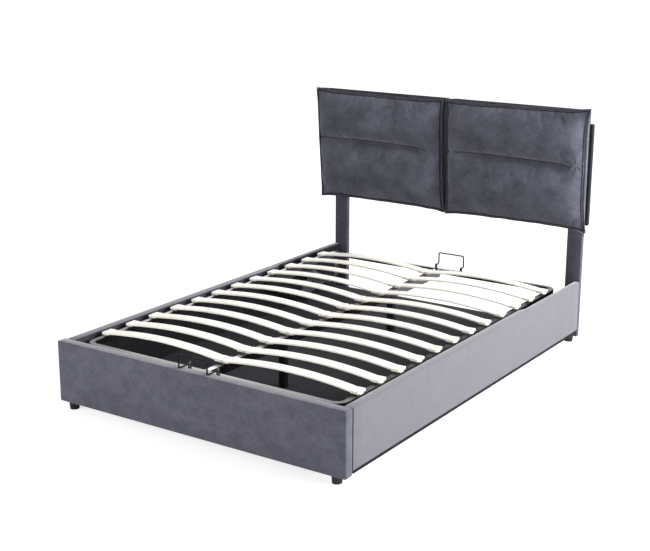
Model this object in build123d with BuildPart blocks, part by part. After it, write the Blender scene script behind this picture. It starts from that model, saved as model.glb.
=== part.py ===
"""Ottoman storage bed: a velvet frame around a slatted platform that lifts on links and gas springs.

Millimetres, +Z up, +Y towards the headboard, +X to the right as seen from the foot of the bed.
The origin lies on the floor below the middle of the bed's outer box.
"""
from build123d import *
from math import hypot
import os

os.makedirs("parts", exist_ok=True)

# Driving sizes of the mattress and the room around it
mattress_width = 1400
mattress_side_room = 2
platform_length = 1945
platform_foot_room = 28
platform_head_room = 107

# Driving sizes of the upholstered frame
board_thickness = 18
rail_height = 260
rail_pad = 10
rail_top_pad = 8
rail_bottom_pad = 4
rail_crown = 2
rail_corner_radius = 7
footboard_rise = 4
footboard_front_pad = 20
footboard_back_pad = 12
footboard_top_pad = 14
footboard_end_pad = 9
footboard_crown = 3
footboard_corner_radius = 13
footboard_bottom_radius = 8
footboard_end_bevel = 5
foot_height = 38

# Driving sizes of the headboard
headboard_height = 1164
post_width = 80
post_thickness = 28
post_corner_radius = 5
post_top_drop = 120
glide_height = 12
glide_radius = 14
panel_width = 1530
panel_thickness = 28
panel_top_drop = 72
panel_bottom_rise = 14
panel_edge_bevel = 5
cushion_overall_width = 1556
cushion_height = 583
cushion_gap = 9
cushion_gusset = 60
cushion_crown = 40
cushion_draw_in = 6
cushion_channel_depth = 24
cushion_channel_share = 0.535

# Sizes worked out from the driving ones
inner_width = mattress_width + 2 * mattress_side_room
overall_width = inner_width + 2 * (board_thickness + rail_pad)
half_inner = inner_width / 2
half_outer = overall_width / 2
footboard_thickness = footboard_front_pad + board_thickness + footboard_back_pad
frame_length = footboard_thickness + platform_foot_room + platform_length + platform_head_room
overall_length = frame_length + post_thickness
front_y = -overall_length / 2
rail_start_y = front_y + footboard_thickness
rail_end_y = front_y + frame_length
rail_length = rail_end_y - rail_start_y
rail_bottom_z = foot_height
rail_top_z = foot_height + rail_height
core_bottom_z = rail_bottom_z + rail_bottom_pad
core_top_z = rail_top_z - rail_top_pad
platform_start_y = rail_start_y + platform_foot_room
platform_end_y = platform_start_y + platform_length

# The two sides of the bed, as seen from the foot
sides = {"left": -1, "right": 1}

# Places worked out for the platform frame
tube_size = 25
tube_wall = 1.5
tube_corner = 1.5
platform_drop = 12
platform_side_room = 42
batten_width = 30
batten_height = 12
floor_thickness = 5
platform_top_z = rail_top_z - platform_drop
tube_bottom_z = platform_top_z - tube_size
platform_half = half_inner - platform_side_room
floor_bottom_z = rail_bottom_z + batten_height
floor_top_z = floor_bottom_z + floor_thickness

# Numbers of sides of the small round pieces that nothing turns on
foot_sides = 16
head_sides = 10
rim_sides = 16
shank_sides = 6
wire_sides = 8
hex_sides = 6
screw_sides = 6

# Lift linkage. Each pivot lies back from the platform's head end, and down by a share of the
# depth between the tubes and the storage floor.
plate_thickness = 4
layer_play = 0.5
face_play = 0.1
pin_radius = 5
pin_play = 0.05
open_pin_play = 0.4
pin_head = 2.5
pin_head_radius = 9
link_half_width = 13
base_plate_rim = 18
base_window_radius = 16
arm_plate_rim = 17
front_base_setback, front_base_share = 157, 0.369146
front_arm_setback, front_arm_share = 452, 0.063495
rear_base_setback, rear_base_share = 46, 0.660388
rear_arm_setback, rear_arm_share = 353, 0.092311
spring_base_setback, spring_base_share = 283, 0.903262
spring_arm_setback, spring_arm_share = 613, 0.174641
storage_depth = tube_bottom_z - floor_top_z


def pivot(setback, share):
    """Place of a pivot as seen from the side of the bed: along it and above the floor."""
    return (platform_end_y - setback, tube_bottom_z - share * storage_depth)


def across(radius, sign, place, inner, outer, mode=Mode.ADD):
    """Cylinder that lies across the bed at a place, between two distances from the bed's middle."""
    with Locations(Location((sign * (inner + outer) / 2, place[0], place[1]), (0, 90, 0))):
        Cylinder(radius, outer - inner, mode=mode)


def prism_across(radius, side_count, sign, place, inner, outer):
    """Many-sided bar that lies across the bed at a place, between two distances from the bed's middle."""
    with BuildSketch(Plane.YZ.offset(inner if sign > 0 else -outer), mode=Mode.PRIVATE) as outline:
        with Locations(place):
            RegularPolygon(radius, side_count)
    extrude(outline.sketch, amount=outer - inner)


def bevelled(width, height, bevel):
    """Rectangle with cut corners, about the middle of the current place."""
    x, y = width / 2, height / 2
    Polygon(
        (x - bevel, -y),
        (x, bevel - y),
        (x, y - bevel),
        (x - bevel, y),
        (bevel - x, y),
        (-x, y - bevel),
        (-x, bevel - y),
        (bevel - x, -y),
    )


def eased(points, radius):
    """Route through points with two short runs of wire in place of each square corner."""
    route_points = [points[0]]
    for before, corner, after in zip(points, points[1:], points[2:]):
        inward = (Vector(corner) - Vector(before)).normalized()
        onward = (Vector(after) - Vector(corner)).normalized()
        centre = Vector(corner) + (onward - inward) * radius
        route_points.append(Vector(corner) - inward * radius)
        route_points.append(centre + (inward - onward).normalized() * radius)
        route_points.append(Vector(corner) + onward * radius)
    return [*route_points, points[-1]]


def tube_section(width, height):
    """Section of a square steel tube, about the middle of the current place."""
    bevelled(width, height, tube_corner)
    Rectangle(width - 2 * tube_wall, height - 2 * tube_wall, mode=Mode.SUBTRACT)


front_base = pivot(front_base_setback, front_base_share)
front_arm = pivot(front_arm_setback, front_arm_share)
rear_base = pivot(rear_base_setback, rear_base_share)
rear_arm = pivot(rear_arm_setback, rear_arm_share)
spring_base = pivot(spring_base_setback, spring_base_share)
spring_arm = pivot(spring_arm_setback, spring_arm_share)

# Layers of the linkage as distances from the bed's middle, from the rail inwards
base_inner_x = half_inner - plate_thickness
front_outer_x = base_inner_x - layer_play
front_inner_x = front_outer_x - plate_thickness
arm_outer_x = platform_half + plate_thickness
rear_inner_x = arm_outer_x + layer_play
rear_outer_x = rear_inner_x + plate_thickness

# Hex bolts that hold the corner brackets to the footboard, the rails and the posts
bracket_leg = 50
bracket_height = 80
bracket_thickness = 3
bracket_drop = 98
bolt_radius = 4
bolt_head_radius = 7.5
bolt_head_height = 5.5
bolt_spread = 44
bolt_grip_share = 0.8
bolt_reach_share = 0.6
bracket_middle_z = rail_top_z - bracket_drop - bracket_height / 2
bolt_levels = (bracket_middle_z - bolt_spread / 2, bracket_middle_z + bolt_spread / 2)
rail_bolt_length = bracket_thickness + bolt_grip_share * board_thickness
footboard_bolt_length = bracket_thickness + footboard_back_pad + bolt_grip_share * board_thickness
post_bolt_length = bracket_thickness + bolt_grip_share * post_thickness
bracket_corners = ((rail_start_y, 1, footboard_bolt_length), (rail_end_y, -1, post_bolt_length))

with BuildPart() as frame_bolts:
    for sign in sides.values():
        for corner_y, inward, end_bolt_length in bracket_corners:
            for level in bolt_levels:
                rail_face_x = half_inner - bracket_thickness
                rail_place = (corner_y + inward * bolt_reach_share * bracket_leg, level)
                tip_x = rail_face_x + rail_bolt_length
                prism_across(bolt_radius, shank_sides, sign, rail_place, rail_face_x, tip_x)
                head_x = rail_face_x - bolt_head_height
                prism_across(bolt_head_radius, hex_sides, sign, rail_place, head_x, rail_face_x)
                end_face_y = corner_y + inward * bracket_thickness
                end_place = (sign * (half_inner - bolt_reach_share * bracket_leg), level)
                with BuildSketch(Plane.XZ.offset(-end_face_y)):
                    with Locations(end_place):
                        RegularPolygon(bolt_radius, shank_sides)
                extrude(amount=inward * end_bolt_length)
                with BuildSketch(Plane.XZ.offset(-end_face_y)):
                    with Locations(end_place):
                        RegularPolygon(bolt_head_radius, hex_sides)
                extrude(amount=-inward * bolt_head_height)
frame_bolts.part.label = "frame_bolts"
export_step(frame_bolts.part, "parts/frame_bolts.step")

with BuildPart() as corner_brackets:
    for sign in sides.values():
        for corner_y, inward, end_bolt_length in bracket_corners:
            face_x = sign * half_inner
            with BuildSketch(Plane.XY.offset(bracket_middle_z - bracket_height / 2)):
                with BuildLine():
                    Polyline(
                        (face_x, corner_y),
                        (face_x - sign * bracket_leg, corner_y),
                        (face_x - sign * bracket_leg, corner_y + inward * bracket_thickness),
                        (face_x - sign * bracket_thickness, corner_y + inward * bracket_thickness),
                        (face_x - sign * bracket_thickness, corner_y + inward * bracket_leg),
                        (face_x, corner_y + inward * bracket_leg),
                        close=True,
                    )
                make_face()
            extrude(amount=bracket_height)
    add(frame_bolts.part, mode=Mode.SUBTRACT)
corner_brackets.part.label = "corner_brackets"
export_step(corner_brackets.part, "parts/corner_brackets.step")

# Countersunk screws that hold the lift's base plates to the rails
screw_radius = 2.5
screw_head_radius = 5
screw_length = 18
screw_place_shares = (0.33, 0.67)
base_pivots = (front_base, rear_base, spring_base)
screw_lines = ((front_base, spring_base), (spring_base, rear_base))
with BuildPart() as lift_plate_screws:
    for sign in sides.values():
        for start, end in screw_lines:
            for share in screw_place_shares:
                screw_y = start[0] + share * (end[0] - start[0])
                screw_z = start[1] + share * (end[1] - start[1])
                tip_x = base_inner_x + screw_length
                prism_across(screw_radius, screw_sides, sign, (screw_y, screw_z), half_inner, tip_x)
                with BuildSketch(Plane.YZ.offset(sign * base_inner_x)):
                    with Locations((screw_y, screw_z)):
                        RegularPolygon(screw_head_radius, screw_sides)
                with BuildSketch(Plane.YZ.offset(sign * half_inner)):
                    with Locations((screw_y, screw_z)):
                        RegularPolygon(screw_radius, screw_sides)
                loft(ruled=True)
lift_plate_screws.part.label = "lift_plate_screws"
export_step(lift_plate_screws.part, "parts/lift_plate_screws.step")

# Bolts that hold the headboard panel to the posts, sunk flush into their backs
panel_bolt_radius = 4
panel_bolt_head_radius = 9
panel_bolt_head_height = 6
panel_bolt_grip_share = 0.6
panel_bolt_shares = (0.15, 0.8)
post_back_y = rail_end_y + post_thickness
post_top_z = headboard_height - post_top_drop
panel_start_y = rail_end_y - panel_thickness
panel_top_z = headboard_height - panel_top_drop
panel_bottom_z = headboard_height - cushion_height + panel_bottom_rise
with BuildPart() as headboard_bolts:
    for sign in sides.values():
        for share in panel_bolt_shares:
            place = (sign * (half_outer - post_width / 2), panel_bottom_z + share * (post_top_z - panel_bottom_z))
            with BuildSketch(Plane.XZ.offset(-post_back_y)):
                with Locations(place):
                    RegularPolygon(panel_bolt_head_radius, head_sides)
            extrude(amount=panel_bolt_head_height)
            with BuildSketch(Plane.XZ.offset(-post_back_y)):
                with Locations(place):
                    RegularPolygon(panel_bolt_radius, shank_sides)
            extrude(amount=post_thickness + panel_bolt_grip_share * panel_thickness)
headboard_bolts.part.label = "headboard_bolts"
export_step(headboard_bolts.part, "parts/headboard_bolts.step")

# Footboard: a board in a padded cover that is open below
footboard_top_z = rail_top_z + footboard_rise
footboard_core_top_z = footboard_top_z - footboard_top_pad
footboard_core_start_y = front_y + footboard_front_pad
footboard_core_half = half_outer - footboard_end_pad

with BuildPart() as footboard_core:
    with BuildSketch(Plane.XZ.offset(-footboard_core_start_y)):
        with BuildLine():
            Polyline(
                (-footboard_core_half, rail_bottom_z),
                (footboard_core_half, rail_bottom_z),
                (footboard_core_half, footboard_core_top_z),
                (-footboard_core_half, footboard_core_top_z),
                close=True,
            )
        make_face()
    extrude(amount=-board_thickness)
    add(frame_bolts.part, mode=Mode.SUBTRACT)
footboard_core.part.label = "footboard_core"
export_step(footboard_core.part, "parts/footboard_core.step")

with BuildPart() as footboard_cover:
    with BuildSketch(Plane.YZ.offset(-half_outer)):
        with BuildLine():
            Line((front_y + footboard_crown, rail_bottom_z), (rail_start_y, rail_bottom_z))
            Line((rail_start_y, rail_bottom_z), (rail_start_y, footboard_top_z))
            Line((rail_start_y, footboard_top_z), (front_y + footboard_crown, footboard_top_z))
            ThreePointArc(
                (front_y + footboard_crown, footboard_top_z),
                (front_y, (rail_bottom_z + footboard_top_z) / 2),
                (front_y + footboard_crown, rail_bottom_z),
            )
        make_face()
    extrude(amount=overall_width)
    long_edges = footboard_cover.edges().filter_by(Axis.X)
    fillet(long_edges.group_by(Axis.Z)[-1], footboard_corner_radius)
    fillet(long_edges.group_by(Axis.Z)[0].sort_by(Axis.Y)[0], footboard_bottom_radius)
    end_faces = footboard_cover.faces().sort_by(Axis.X)
    chamfer(end_faces[0].edges() + end_faces[-1].edges(), footboard_end_bevel)
    add(footboard_core.part, mode=Mode.SUBTRACT)
    add(frame_bolts.part, mode=Mode.SUBTRACT)
footboard_cover.part.label = "footboard_cover"
export_step(footboard_cover.part, "parts/footboard_cover.step")

# Side rails: a board with a padded cover over its outer face and both edges
for side, sign in sides.items():
    core_outer_x = sign * (half_inner + board_thickness)
    with BuildPart() as side_rail_core:
        with BuildSketch(Plane.XZ.offset(-rail_end_y)):
            with BuildLine():
                Polyline(
                    (sign * half_inner, core_bottom_z),
                    (core_outer_x, core_bottom_z),
                    (core_outer_x, core_top_z),
                    (sign * half_inner, core_top_z),
                    close=True,
                )
            make_face()
        extrude(amount=rail_length)
        add(frame_bolts.part, mode=Mode.SUBTRACT)
        add(lift_plate_screws.part, mode=Mode.SUBTRACT)
    side_rail_core.part.label = f"side_rail_core_{side}"
    export_step(side_rail_core.part, f"parts/side_rail_core_{side}.step")

    shoulder_x = sign * (half_outer - rail_crown)
    with BuildPart() as side_rail_cover:
        with BuildSketch(Plane.XZ.offset(-rail_end_y)):
            with BuildLine():
                Line((sign * half_inner, rail_top_z), (sign * half_inner, rail_bottom_z))
                Line((sign * half_inner, rail_bottom_z), (shoulder_x, rail_bottom_z))
                ThreePointArc(
                    (shoulder_x, rail_bottom_z),
                    (sign * half_outer, (rail_bottom_z + rail_top_z) / 2),
                    (shoulder_x, rail_top_z),
                )
                Line((shoulder_x, rail_top_z), (sign * half_inner, rail_top_z))
            make_face()
        extrude(amount=rail_length)
        outer_edges = side_rail_cover.edges().filter_by(Axis.Y).sort_by(Axis.X)
        fillet(outer_edges[-2:] if sign > 0 else outer_edges[:2], rail_corner_radius)
        add(side_rail_core.part, mode=Mode.SUBTRACT)
        add(frame_bolts.part, mode=Mode.SUBTRACT)
        add(lift_plate_screws.part, mode=Mode.SUBTRACT)
    side_rail_cover.part.label = f"side_rail_cover_{side}"
    export_step(side_rail_cover.part, f"parts/side_rail_cover_{side}.step")

# Headboard posts: upholstered boards that stand behind the rail ends on small glides
for side, sign in sides.items():
    post_middle_x = sign * (half_outer - post_width / 2)
    post_middle_y = rail_end_y + post_thickness / 2
    with BuildPart() as headboard_post:
        with BuildSketch(Plane.XY.offset(glide_height)):
            with Locations((post_middle_x, post_middle_y)):
                RectangleRounded(post_width, post_thickness, post_corner_radius)
        extrude(amount=post_top_z - glide_height)
        add(frame_bolts.part, mode=Mode.SUBTRACT)
        add(headboard_bolts.part, mode=Mode.SUBTRACT)
    headboard_post.part.label = f"headboard_post_{side}"
    export_step(headboard_post.part, f"parts/headboard_post_{side}.step")

with BuildPart() as post_glides:
    with BuildSketch(Plane.XY):
        for sign in sides.values():
            with Locations((sign * (half_outer - post_width / 2), rail_end_y + post_thickness / 2)):
                RegularPolygon(glide_radius, foot_sides)
    extrude(amount=glide_height)
post_glides.part.label = "post_glides"
export_step(post_glides.part, "parts/post_glides.step")

# Headboard panel: the thin upholstered back that the cushions hang on
with BuildPart() as headboard_panel:
    with BuildSketch(Plane.XZ.offset(-rail_end_y)):
        with Locations((0, (panel_top_z + panel_bottom_z) / 2)):
            Rectangle(panel_width, panel_top_z - panel_bottom_z)
    extrude(amount=panel_thickness)
    chamfer(headboard_panel.faces().sort_by(Axis.Y)[0].edges(), panel_edge_bevel)
    add(headboard_bolts.part, mode=Mode.SUBTRACT)
headboard_panel.part.label = "headboard_panel"
export_step(headboard_panel.part, "parts/headboard_panel.step")

# Headboard cushions: level sections from the bottom seam to the top one. Each row holds the height,
# the draw-in of the sides, the gusset, the crown beside the channel and the crown in the middle.
channel = cushion_channel_share
channel_half_share = 0.045
channel_floor_share = (cushion_crown - cushion_channel_depth) / cushion_crown
cushion_section_shares = [
    (0.0, 0.0, 0.62, 0.10, 0.12),
    (0.03, 0.15, 0.88, 0.42, 0.46),
    (0.11, 0.45, 0.97, 0.76, 0.82),
    (0.30, 0.90, 1.0, 0.90, 1.0),
    (channel - channel_half_share, 1.0, 1.0, 0.86, 0.84),
    (channel, 1.0, 1.0, 0.82, channel_floor_share),
    (channel + channel_half_share, 1.0, 1.0, 0.86, 0.84),
    (0.70, 0.95, 1.0, 0.88, 0.96),
    (0.84, 0.60, 1.0, 0.80, 0.88),
    (0.93, 0.30, 0.95, 0.58, 0.64),
    (0.98, 0.10, 0.84, 0.34, 0.36),
    (1.0, 0.0, 0.64, 0.10, 0.12),
]
cushion_shoulder_share = 0.80
cushion_arc_share = 0.55
cushion_width = (cushion_overall_width - cushion_gap) / 2
cushion_back_y = panel_start_y
cushion_bottom_z = headboard_height - cushion_height
for side, sign in sides.items():
    cushion_middle_x = sign * (cushion_gap + cushion_width) / 2
    with BuildPart() as headboard_cushion:
        for level, draw, gusset, shoulder, crown in cushion_section_shares:
            half_width = cushion_width / 2 - draw * cushion_draw_in
            shoulder_half = half_width * cushion_shoulder_share
            seam_y = cushion_back_y - gusset * cushion_gusset
            shoulder_y = seam_y - shoulder * cushion_crown
            crown_y = seam_y - crown * cushion_crown
            bend_half = (half_width + shoulder_half) / 2
            bend_y = seam_y + (shoulder_y - seam_y) * (1 + cushion_arc_share) / 2
            with BuildSketch(Plane.XY.offset(cushion_bottom_z + level * cushion_height)):
                with BuildLine():
                    west = cushion_middle_x - half_width
                    east = cushion_middle_x + half_width
                    west_shoulder = cushion_middle_x - shoulder_half
                    east_shoulder = cushion_middle_x + shoulder_half
                    Line((east, cushion_back_y), (west, cushion_back_y))
                    Line((west, cushion_back_y), (west, seam_y))
                    ThreePointArc(
                        (west, seam_y), (cushion_middle_x - bend_half, bend_y), (west_shoulder, shoulder_y)
                    )
                    ThreePointArc(
                        (west_shoulder, shoulder_y), (cushion_middle_x, crown_y), (east_shoulder, shoulder_y)
                    )
                    ThreePointArc(
                        (east_shoulder, shoulder_y), (cushion_middle_x + bend_half, bend_y), (east, seam_y)
                    )
                    Line((east, seam_y), (east, cushion_back_y))
                make_face()
        loft(ruled=True)
    headboard_cushion.part.label = f"headboard_cushion_{side}"
    export_step(headboard_cushion.part, f"parts/headboard_cushion_{side}.step")

# Feet under the footboard, under the rear ends of the side rails and under the middle of the floor
foot_radius = 23
foot_taper = 3
front_foot_inset = 52
rear_foot_inset = 25
rear_foot_setback = 40
middle_foot_shares = (-0.25, 0.25)
foot_places = [(0, share * rail_length) for share in middle_foot_shares]
for sign in sides.values():
    foot_places.append((sign * (half_outer - front_foot_inset), front_y + footboard_thickness / 2))
    foot_places.append((sign * (half_outer - rear_foot_inset), rail_end_y - rear_foot_setback))
with BuildPart() as feet:
    for place in foot_places:
        with BuildSketch(Plane.XY):
            with Locations(place):
                RegularPolygon(foot_radius - foot_taper, foot_sides)
        with BuildSketch(Plane.XY.offset(foot_height)):
            with Locations(place):
                RegularPolygon(foot_radius, foot_sides)
        loft(ruled=True)
feet.part.label = "feet"
export_step(feet.part, "parts/feet.step")

# Storage floor: two covered boards on battens and a middle beam
floor_joint = 1
floor_edge_room = 2
beam_width = 70
floor_end_y = rail_end_y - floor_edge_room
floor_start_y = rail_start_y + floor_edge_room
floor_length = floor_end_y - floor_start_y

floor_middle_y = (floor_start_y + floor_end_y) / 2
floor_board_width = half_inner - floor_edge_room - floor_joint / 2

with BuildPart() as floor_battens:
    with BuildSketch(Plane.XY.offset(rail_bottom_z)):
        for sign in sides.values():
            with Locations((sign * (half_inner - batten_width / 2), floor_middle_y)):
                Rectangle(batten_width, floor_length)
    extrude(amount=batten_height)
    chamfer(floor_battens.edges().filter_by(Axis.Y).group_by(Axis.Z)[0], batten_height / 6)
floor_battens.part.label = "floor_battens"
export_step(floor_battens.part, "parts/floor_battens.step")

with BuildPart() as floor_beam:
    with BuildSketch(Plane.XY.offset(rail_bottom_z)):
        with Locations((0, floor_middle_y)):
            Rectangle(beam_width, floor_length)
    extrude(amount=batten_height)
    chamfer(floor_beam.edges().filter_by(Axis.Y), batten_height / 6)
floor_beam.part.label = "floor_beam"
export_step(floor_beam.part, "parts/floor_beam.step")

for side, sign in sides.items():
    with BuildPart() as storage_floor:
        with BuildSketch(Plane.XY.offset(floor_bottom_z)):
            with Locations((sign * (floor_joint + floor_board_width) / 2, floor_middle_y)):
                Rectangle(floor_board_width, floor_length)
        extrude(amount=floor_thickness)
    storage_floor.part.label = f"storage_floor_{side}"
    export_step(storage_floor.part, f"parts/storage_floor_{side}.step")

# Platform frame: square steel tube with bent corners and a deeper middle rail
tube_bend = 45
tube_leg = 15
middle_rail_width = 30
middle_rail_height = 40
tube_middle_z = platform_top_z - tube_size / 2
tube_middle_x = platform_half - tube_size / 2
tube_reach = tube_size / 2 + tube_bend + tube_leg

for name, middle_y, inward in (
    ("platform_tube_foot", platform_start_y + tube_size / 2, 1),
    ("platform_tube_head", platform_end_y - tube_size / 2, -1),
):
    leg_y = middle_y + inward * (tube_reach - tube_size / 2)
    with BuildPart() as platform_tube:
        with BuildLine() as route:
            FilletPolyline(
                (-tube_middle_x, leg_y, tube_middle_z),
                (-tube_middle_x, middle_y, tube_middle_z),
                (tube_middle_x, middle_y, tube_middle_z),
                (tube_middle_x, leg_y, tube_middle_z),
                radius=tube_bend,
            )
        with BuildSketch(Plane(origin=route.line @ 0, z_dir=route.line % 0)):
            tube_section(tube_size, tube_size)
        sweep()
    platform_tube.part.label = name
    export_step(platform_tube.part, f"parts/{name}.step")

side_tube_start_y = platform_start_y + tube_reach
side_tube_length = platform_length - 2 * tube_reach
for side, sign in sides.items():
    with BuildPart() as platform_side_tube:
        with BuildSketch(Plane.XZ.offset(-side_tube_start_y)):
            with Locations((sign * tube_middle_x, tube_middle_z)):
                tube_section(tube_size, tube_size)
        extrude(amount=-side_tube_length)
    platform_side_tube.part.label = f"platform_tube_{side}"
    export_step(platform_side_tube.part, f"parts/platform_tube_{side}.step")

with BuildPart() as platform_middle_rail:
    with BuildSketch(Plane.XZ.offset(-(platform_start_y + tube_size))):
        with Locations((0, platform_top_z - middle_rail_height / 2)):
            tube_section(middle_rail_width, middle_rail_height)
    extrude(amount=-(platform_length - 2 * tube_size))
platform_middle_rail.part.label = "platform_middle_rail"
export_step(platform_middle_rail.part, "parts/platform_middle_rail.step")

# Slats: twelve rows of two bowed birch strips, each held at both ends in a plastic cap
slat_rows = 12
slat_width = 53
slat_thickness = 8
slat_rise = 22
slat_seat = 8
slat_margin = 116
slat_inner_x = 21
slat_end_room = 26
cap_play = 0.2
cap_rim = 2
cap_depth = 26
cap_top_wall = 3
cap_skirt = 10
cap_skirt_wall = 4
slat_outer_x = platform_half - slat_end_room
slat_bottom_z = platform_top_z + slat_seat
slat_pitch = (platform_length - 2 * slat_margin - slat_width) / (slat_rows - 1)
slat_first_y = platform_start_y + slat_margin + slat_width / 2
slat_middle_x = (slat_inner_x + slat_outer_x) / 2
slat_half_span = (slat_outer_x - slat_inner_x) / 2
slat_arc_radius = (slat_half_span**2 + slat_rise**2) / (2 * slat_rise)
slat_arc_z = slat_bottom_z + slat_rise - slat_arc_radius


def arc_height(x, play=0):
    """Height of the slat's lower arc, lowered by the play, at a distance x from the bed's middle."""
    return slat_arc_z + ((slat_arc_radius - play) ** 2 - (abs(x) - slat_middle_x) ** 2) ** 0.5


def slat_outline(sign):
    """Closed outline of a bowed slat, seen from the foot of the bed."""
    start, middle, end = slat_inner_x, slat_middle_x, slat_outer_x
    upper = -slat_thickness
    Line((sign * start, arc_height(start)), (sign * start, arc_height(start, upper)))
    ThreePointArc(
        (sign * start, arc_height(start, upper)),
        (sign * middle, arc_height(middle, upper)),
        (sign * end, arc_height(end, upper)),
    )
    Line((sign * end, arc_height(end, upper)), (sign * end, arc_height(end)))
    ThreePointArc(
        (sign * end, arc_height(end)),
        (sign * middle, arc_height(middle)),
        (sign * start, arc_height(start)),
    )


def pocket_outline(sign, start_x, end_x):
    """Closed outline of a cap's pocket: the end of a slat between two places, grown by the play all round."""
    start, end = start_x - cap_play, end_x + cap_play
    upper = -slat_thickness - cap_play
    Polyline(
        (sign * start, arc_height(start, cap_play)),
        (sign * start, arc_height(start, upper)),
        (sign * end, arc_height(end, upper)),
        (sign * end, arc_height(end, cap_play)),
        close=True,
    )


for row in range(slat_rows):
    slat_back_y = slat_first_y + row * slat_pitch + slat_width / 2
    with BuildPart() as slat_row:
        with BuildSketch(Plane.XZ.offset(-slat_back_y)):
            for sign in sides.values():
                with BuildLine():
                    slat_outline(sign)
                make_face()
        extrude(amount=slat_width)
    slat_row.part.label = f"slat_row_{row + 1:02d}"
    export_step(slat_row.part, f"parts/slat_row_{row + 1:02d}.step")

# Plastic caps at the outer ends of the slats, clipped over the side tubes
cap_width = slat_width + 2 * cap_play + 2 * cap_rim
cap_mouth_x = slat_outer_x - cap_depth
cap_end_x = platform_half - cap_play
cap_end_z = arc_height(slat_outer_x, -slat_thickness) + cap_top_wall
cap_mouth_z = arc_height(cap_mouth_x, -slat_thickness) + cap_top_wall
cap_lip_z = arc_height(cap_mouth_x) - cap_top_wall
skirt_x = platform_half - tube_size
with BuildPart() as slat_caps_side:
    for sign in sides.values():
        for row in range(slat_rows):
            cap_back_y = slat_first_y + row * slat_pitch + cap_width / 2
            with BuildSketch(Plane.XZ.offset(-cap_back_y)):
                with BuildLine():
                    Polyline(
                        (sign * cap_end_x, platform_top_z),
                        (sign * skirt_x, platform_top_z),
                        (sign * skirt_x, platform_top_z - cap_skirt),
                        (sign * (skirt_x - cap_skirt_wall), platform_top_z - cap_skirt),
                        (sign * (skirt_x - cap_skirt_wall), platform_top_z),
                        (sign * cap_mouth_x, cap_lip_z),
                        (sign * cap_mouth_x, cap_mouth_z),
                        (sign * slat_outer_x, cap_end_z),
                        (sign * cap_end_x, cap_end_z - cap_top_wall),
                        close=True,
                    )
                make_face()
            extrude(amount=cap_width)
            with BuildSketch(Plane.XZ.offset(-(cap_back_y - cap_rim))):
                with BuildLine():
                    pocket_outline(sign, cap_mouth_x - cap_rim, slat_outer_x)
                make_face()
            extrude(amount=cap_width - 2 * cap_rim, mode=Mode.SUBTRACT)
slat_caps_side.part.label = "slat_caps_side"
export_step(slat_caps_side.part, "parts/slat_caps_side.step")

# Plastic double caps over the middle rail
middle_mouth_x = slat_inner_x + cap_depth
middle_crest_z = arc_height(slat_inner_x, -slat_thickness) + cap_top_wall
with BuildPart() as slat_caps_middle:
    for row in range(slat_rows):
        cap_back_y = slat_first_y + row * slat_pitch + cap_width / 2
        with BuildSketch(Plane.XZ.offset(-cap_back_y)):
            with BuildLine():
                Polyline(
                    (-middle_rail_width / 2, platform_top_z),
                    (middle_rail_width / 2, platform_top_z),
                    (middle_mouth_x, arc_height(middle_mouth_x) - cap_top_wall),
                    (middle_mouth_x, arc_height(middle_mouth_x, -slat_thickness) + cap_top_wall),
                    (slat_inner_x, middle_crest_z),
                    (-slat_inner_x, middle_crest_z),
                    (-middle_mouth_x, arc_height(middle_mouth_x, -slat_thickness) + cap_top_wall),
                    (-middle_mouth_x, arc_height(middle_mouth_x) - cap_top_wall),
                    close=True,
                )
            make_face()
        extrude(amount=cap_width)
        with BuildSketch(Plane.XZ.offset(-(cap_back_y - cap_rim))):
            for sign in sides.values():
                with BuildLine():
                    pocket_outline(sign, slat_inner_x, middle_mouth_x + cap_rim)
                make_face()
        extrude(amount=cap_width - 2 * cap_rim, mode=Mode.SUBTRACT)
slat_caps_middle.part.label = "slat_caps_middle"
export_step(slat_caps_middle.part, "parts/slat_caps_middle.step")

# Mattress retainers: bent wire loops beyond both ends of the platform, held in clamps on its tubes
wire_radius = 3
loop_width = 146
loop_height = 60
loop_bend = 12
loop_foot_reach = 66
loop_head_reach = 25
loop_foot_rise = 20
loop_head_rise = 14
loop_head_offset = 50
clamp_width = 14
clamp_length = 20
clamp_cover = 5
clamp_bevel = 3
loop_places = (
    ("mattress_retainer_foot", platform_start_y, -1, loop_foot_reach, loop_foot_rise, 0),
    ("mattress_retainer_head", platform_end_y, 1, loop_head_reach, loop_head_rise, loop_head_offset),
)
for name, edge_y, outward, reach, rise, middle_x in loop_places:
    leg_end_y = edge_y - outward * tube_size / 2
    upright_y = edge_y + outward * reach
    loop_leg_z = platform_top_z + rise
    left_x, right_x = middle_x - loop_width / 2, middle_x + loop_width / 2
    loop_points = (
        (left_x, leg_end_y, loop_leg_z),
        (left_x, upright_y, loop_leg_z),
        (left_x, upright_y, loop_leg_z + loop_height),
        (right_x, upright_y, loop_leg_z + loop_height),
        (right_x, upright_y, loop_leg_z),
        (right_x, leg_end_y, loop_leg_z),
    )
    with BuildPart() as mattress_retainer:
        with BuildLine() as route:
            Polyline(*eased(loop_points, loop_bend))
        with BuildSketch(Plane(origin=route.line @ 0, x_dir=(1, 0, 0), z_dir=route.line % 0)):
            RegularPolygon(wire_radius, wire_sides)
        sweep(transition=Transition.RIGHT)
    mattress_retainer.part.label = name
    export_step(mattress_retainer.part, f"parts/{name}.step")

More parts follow.
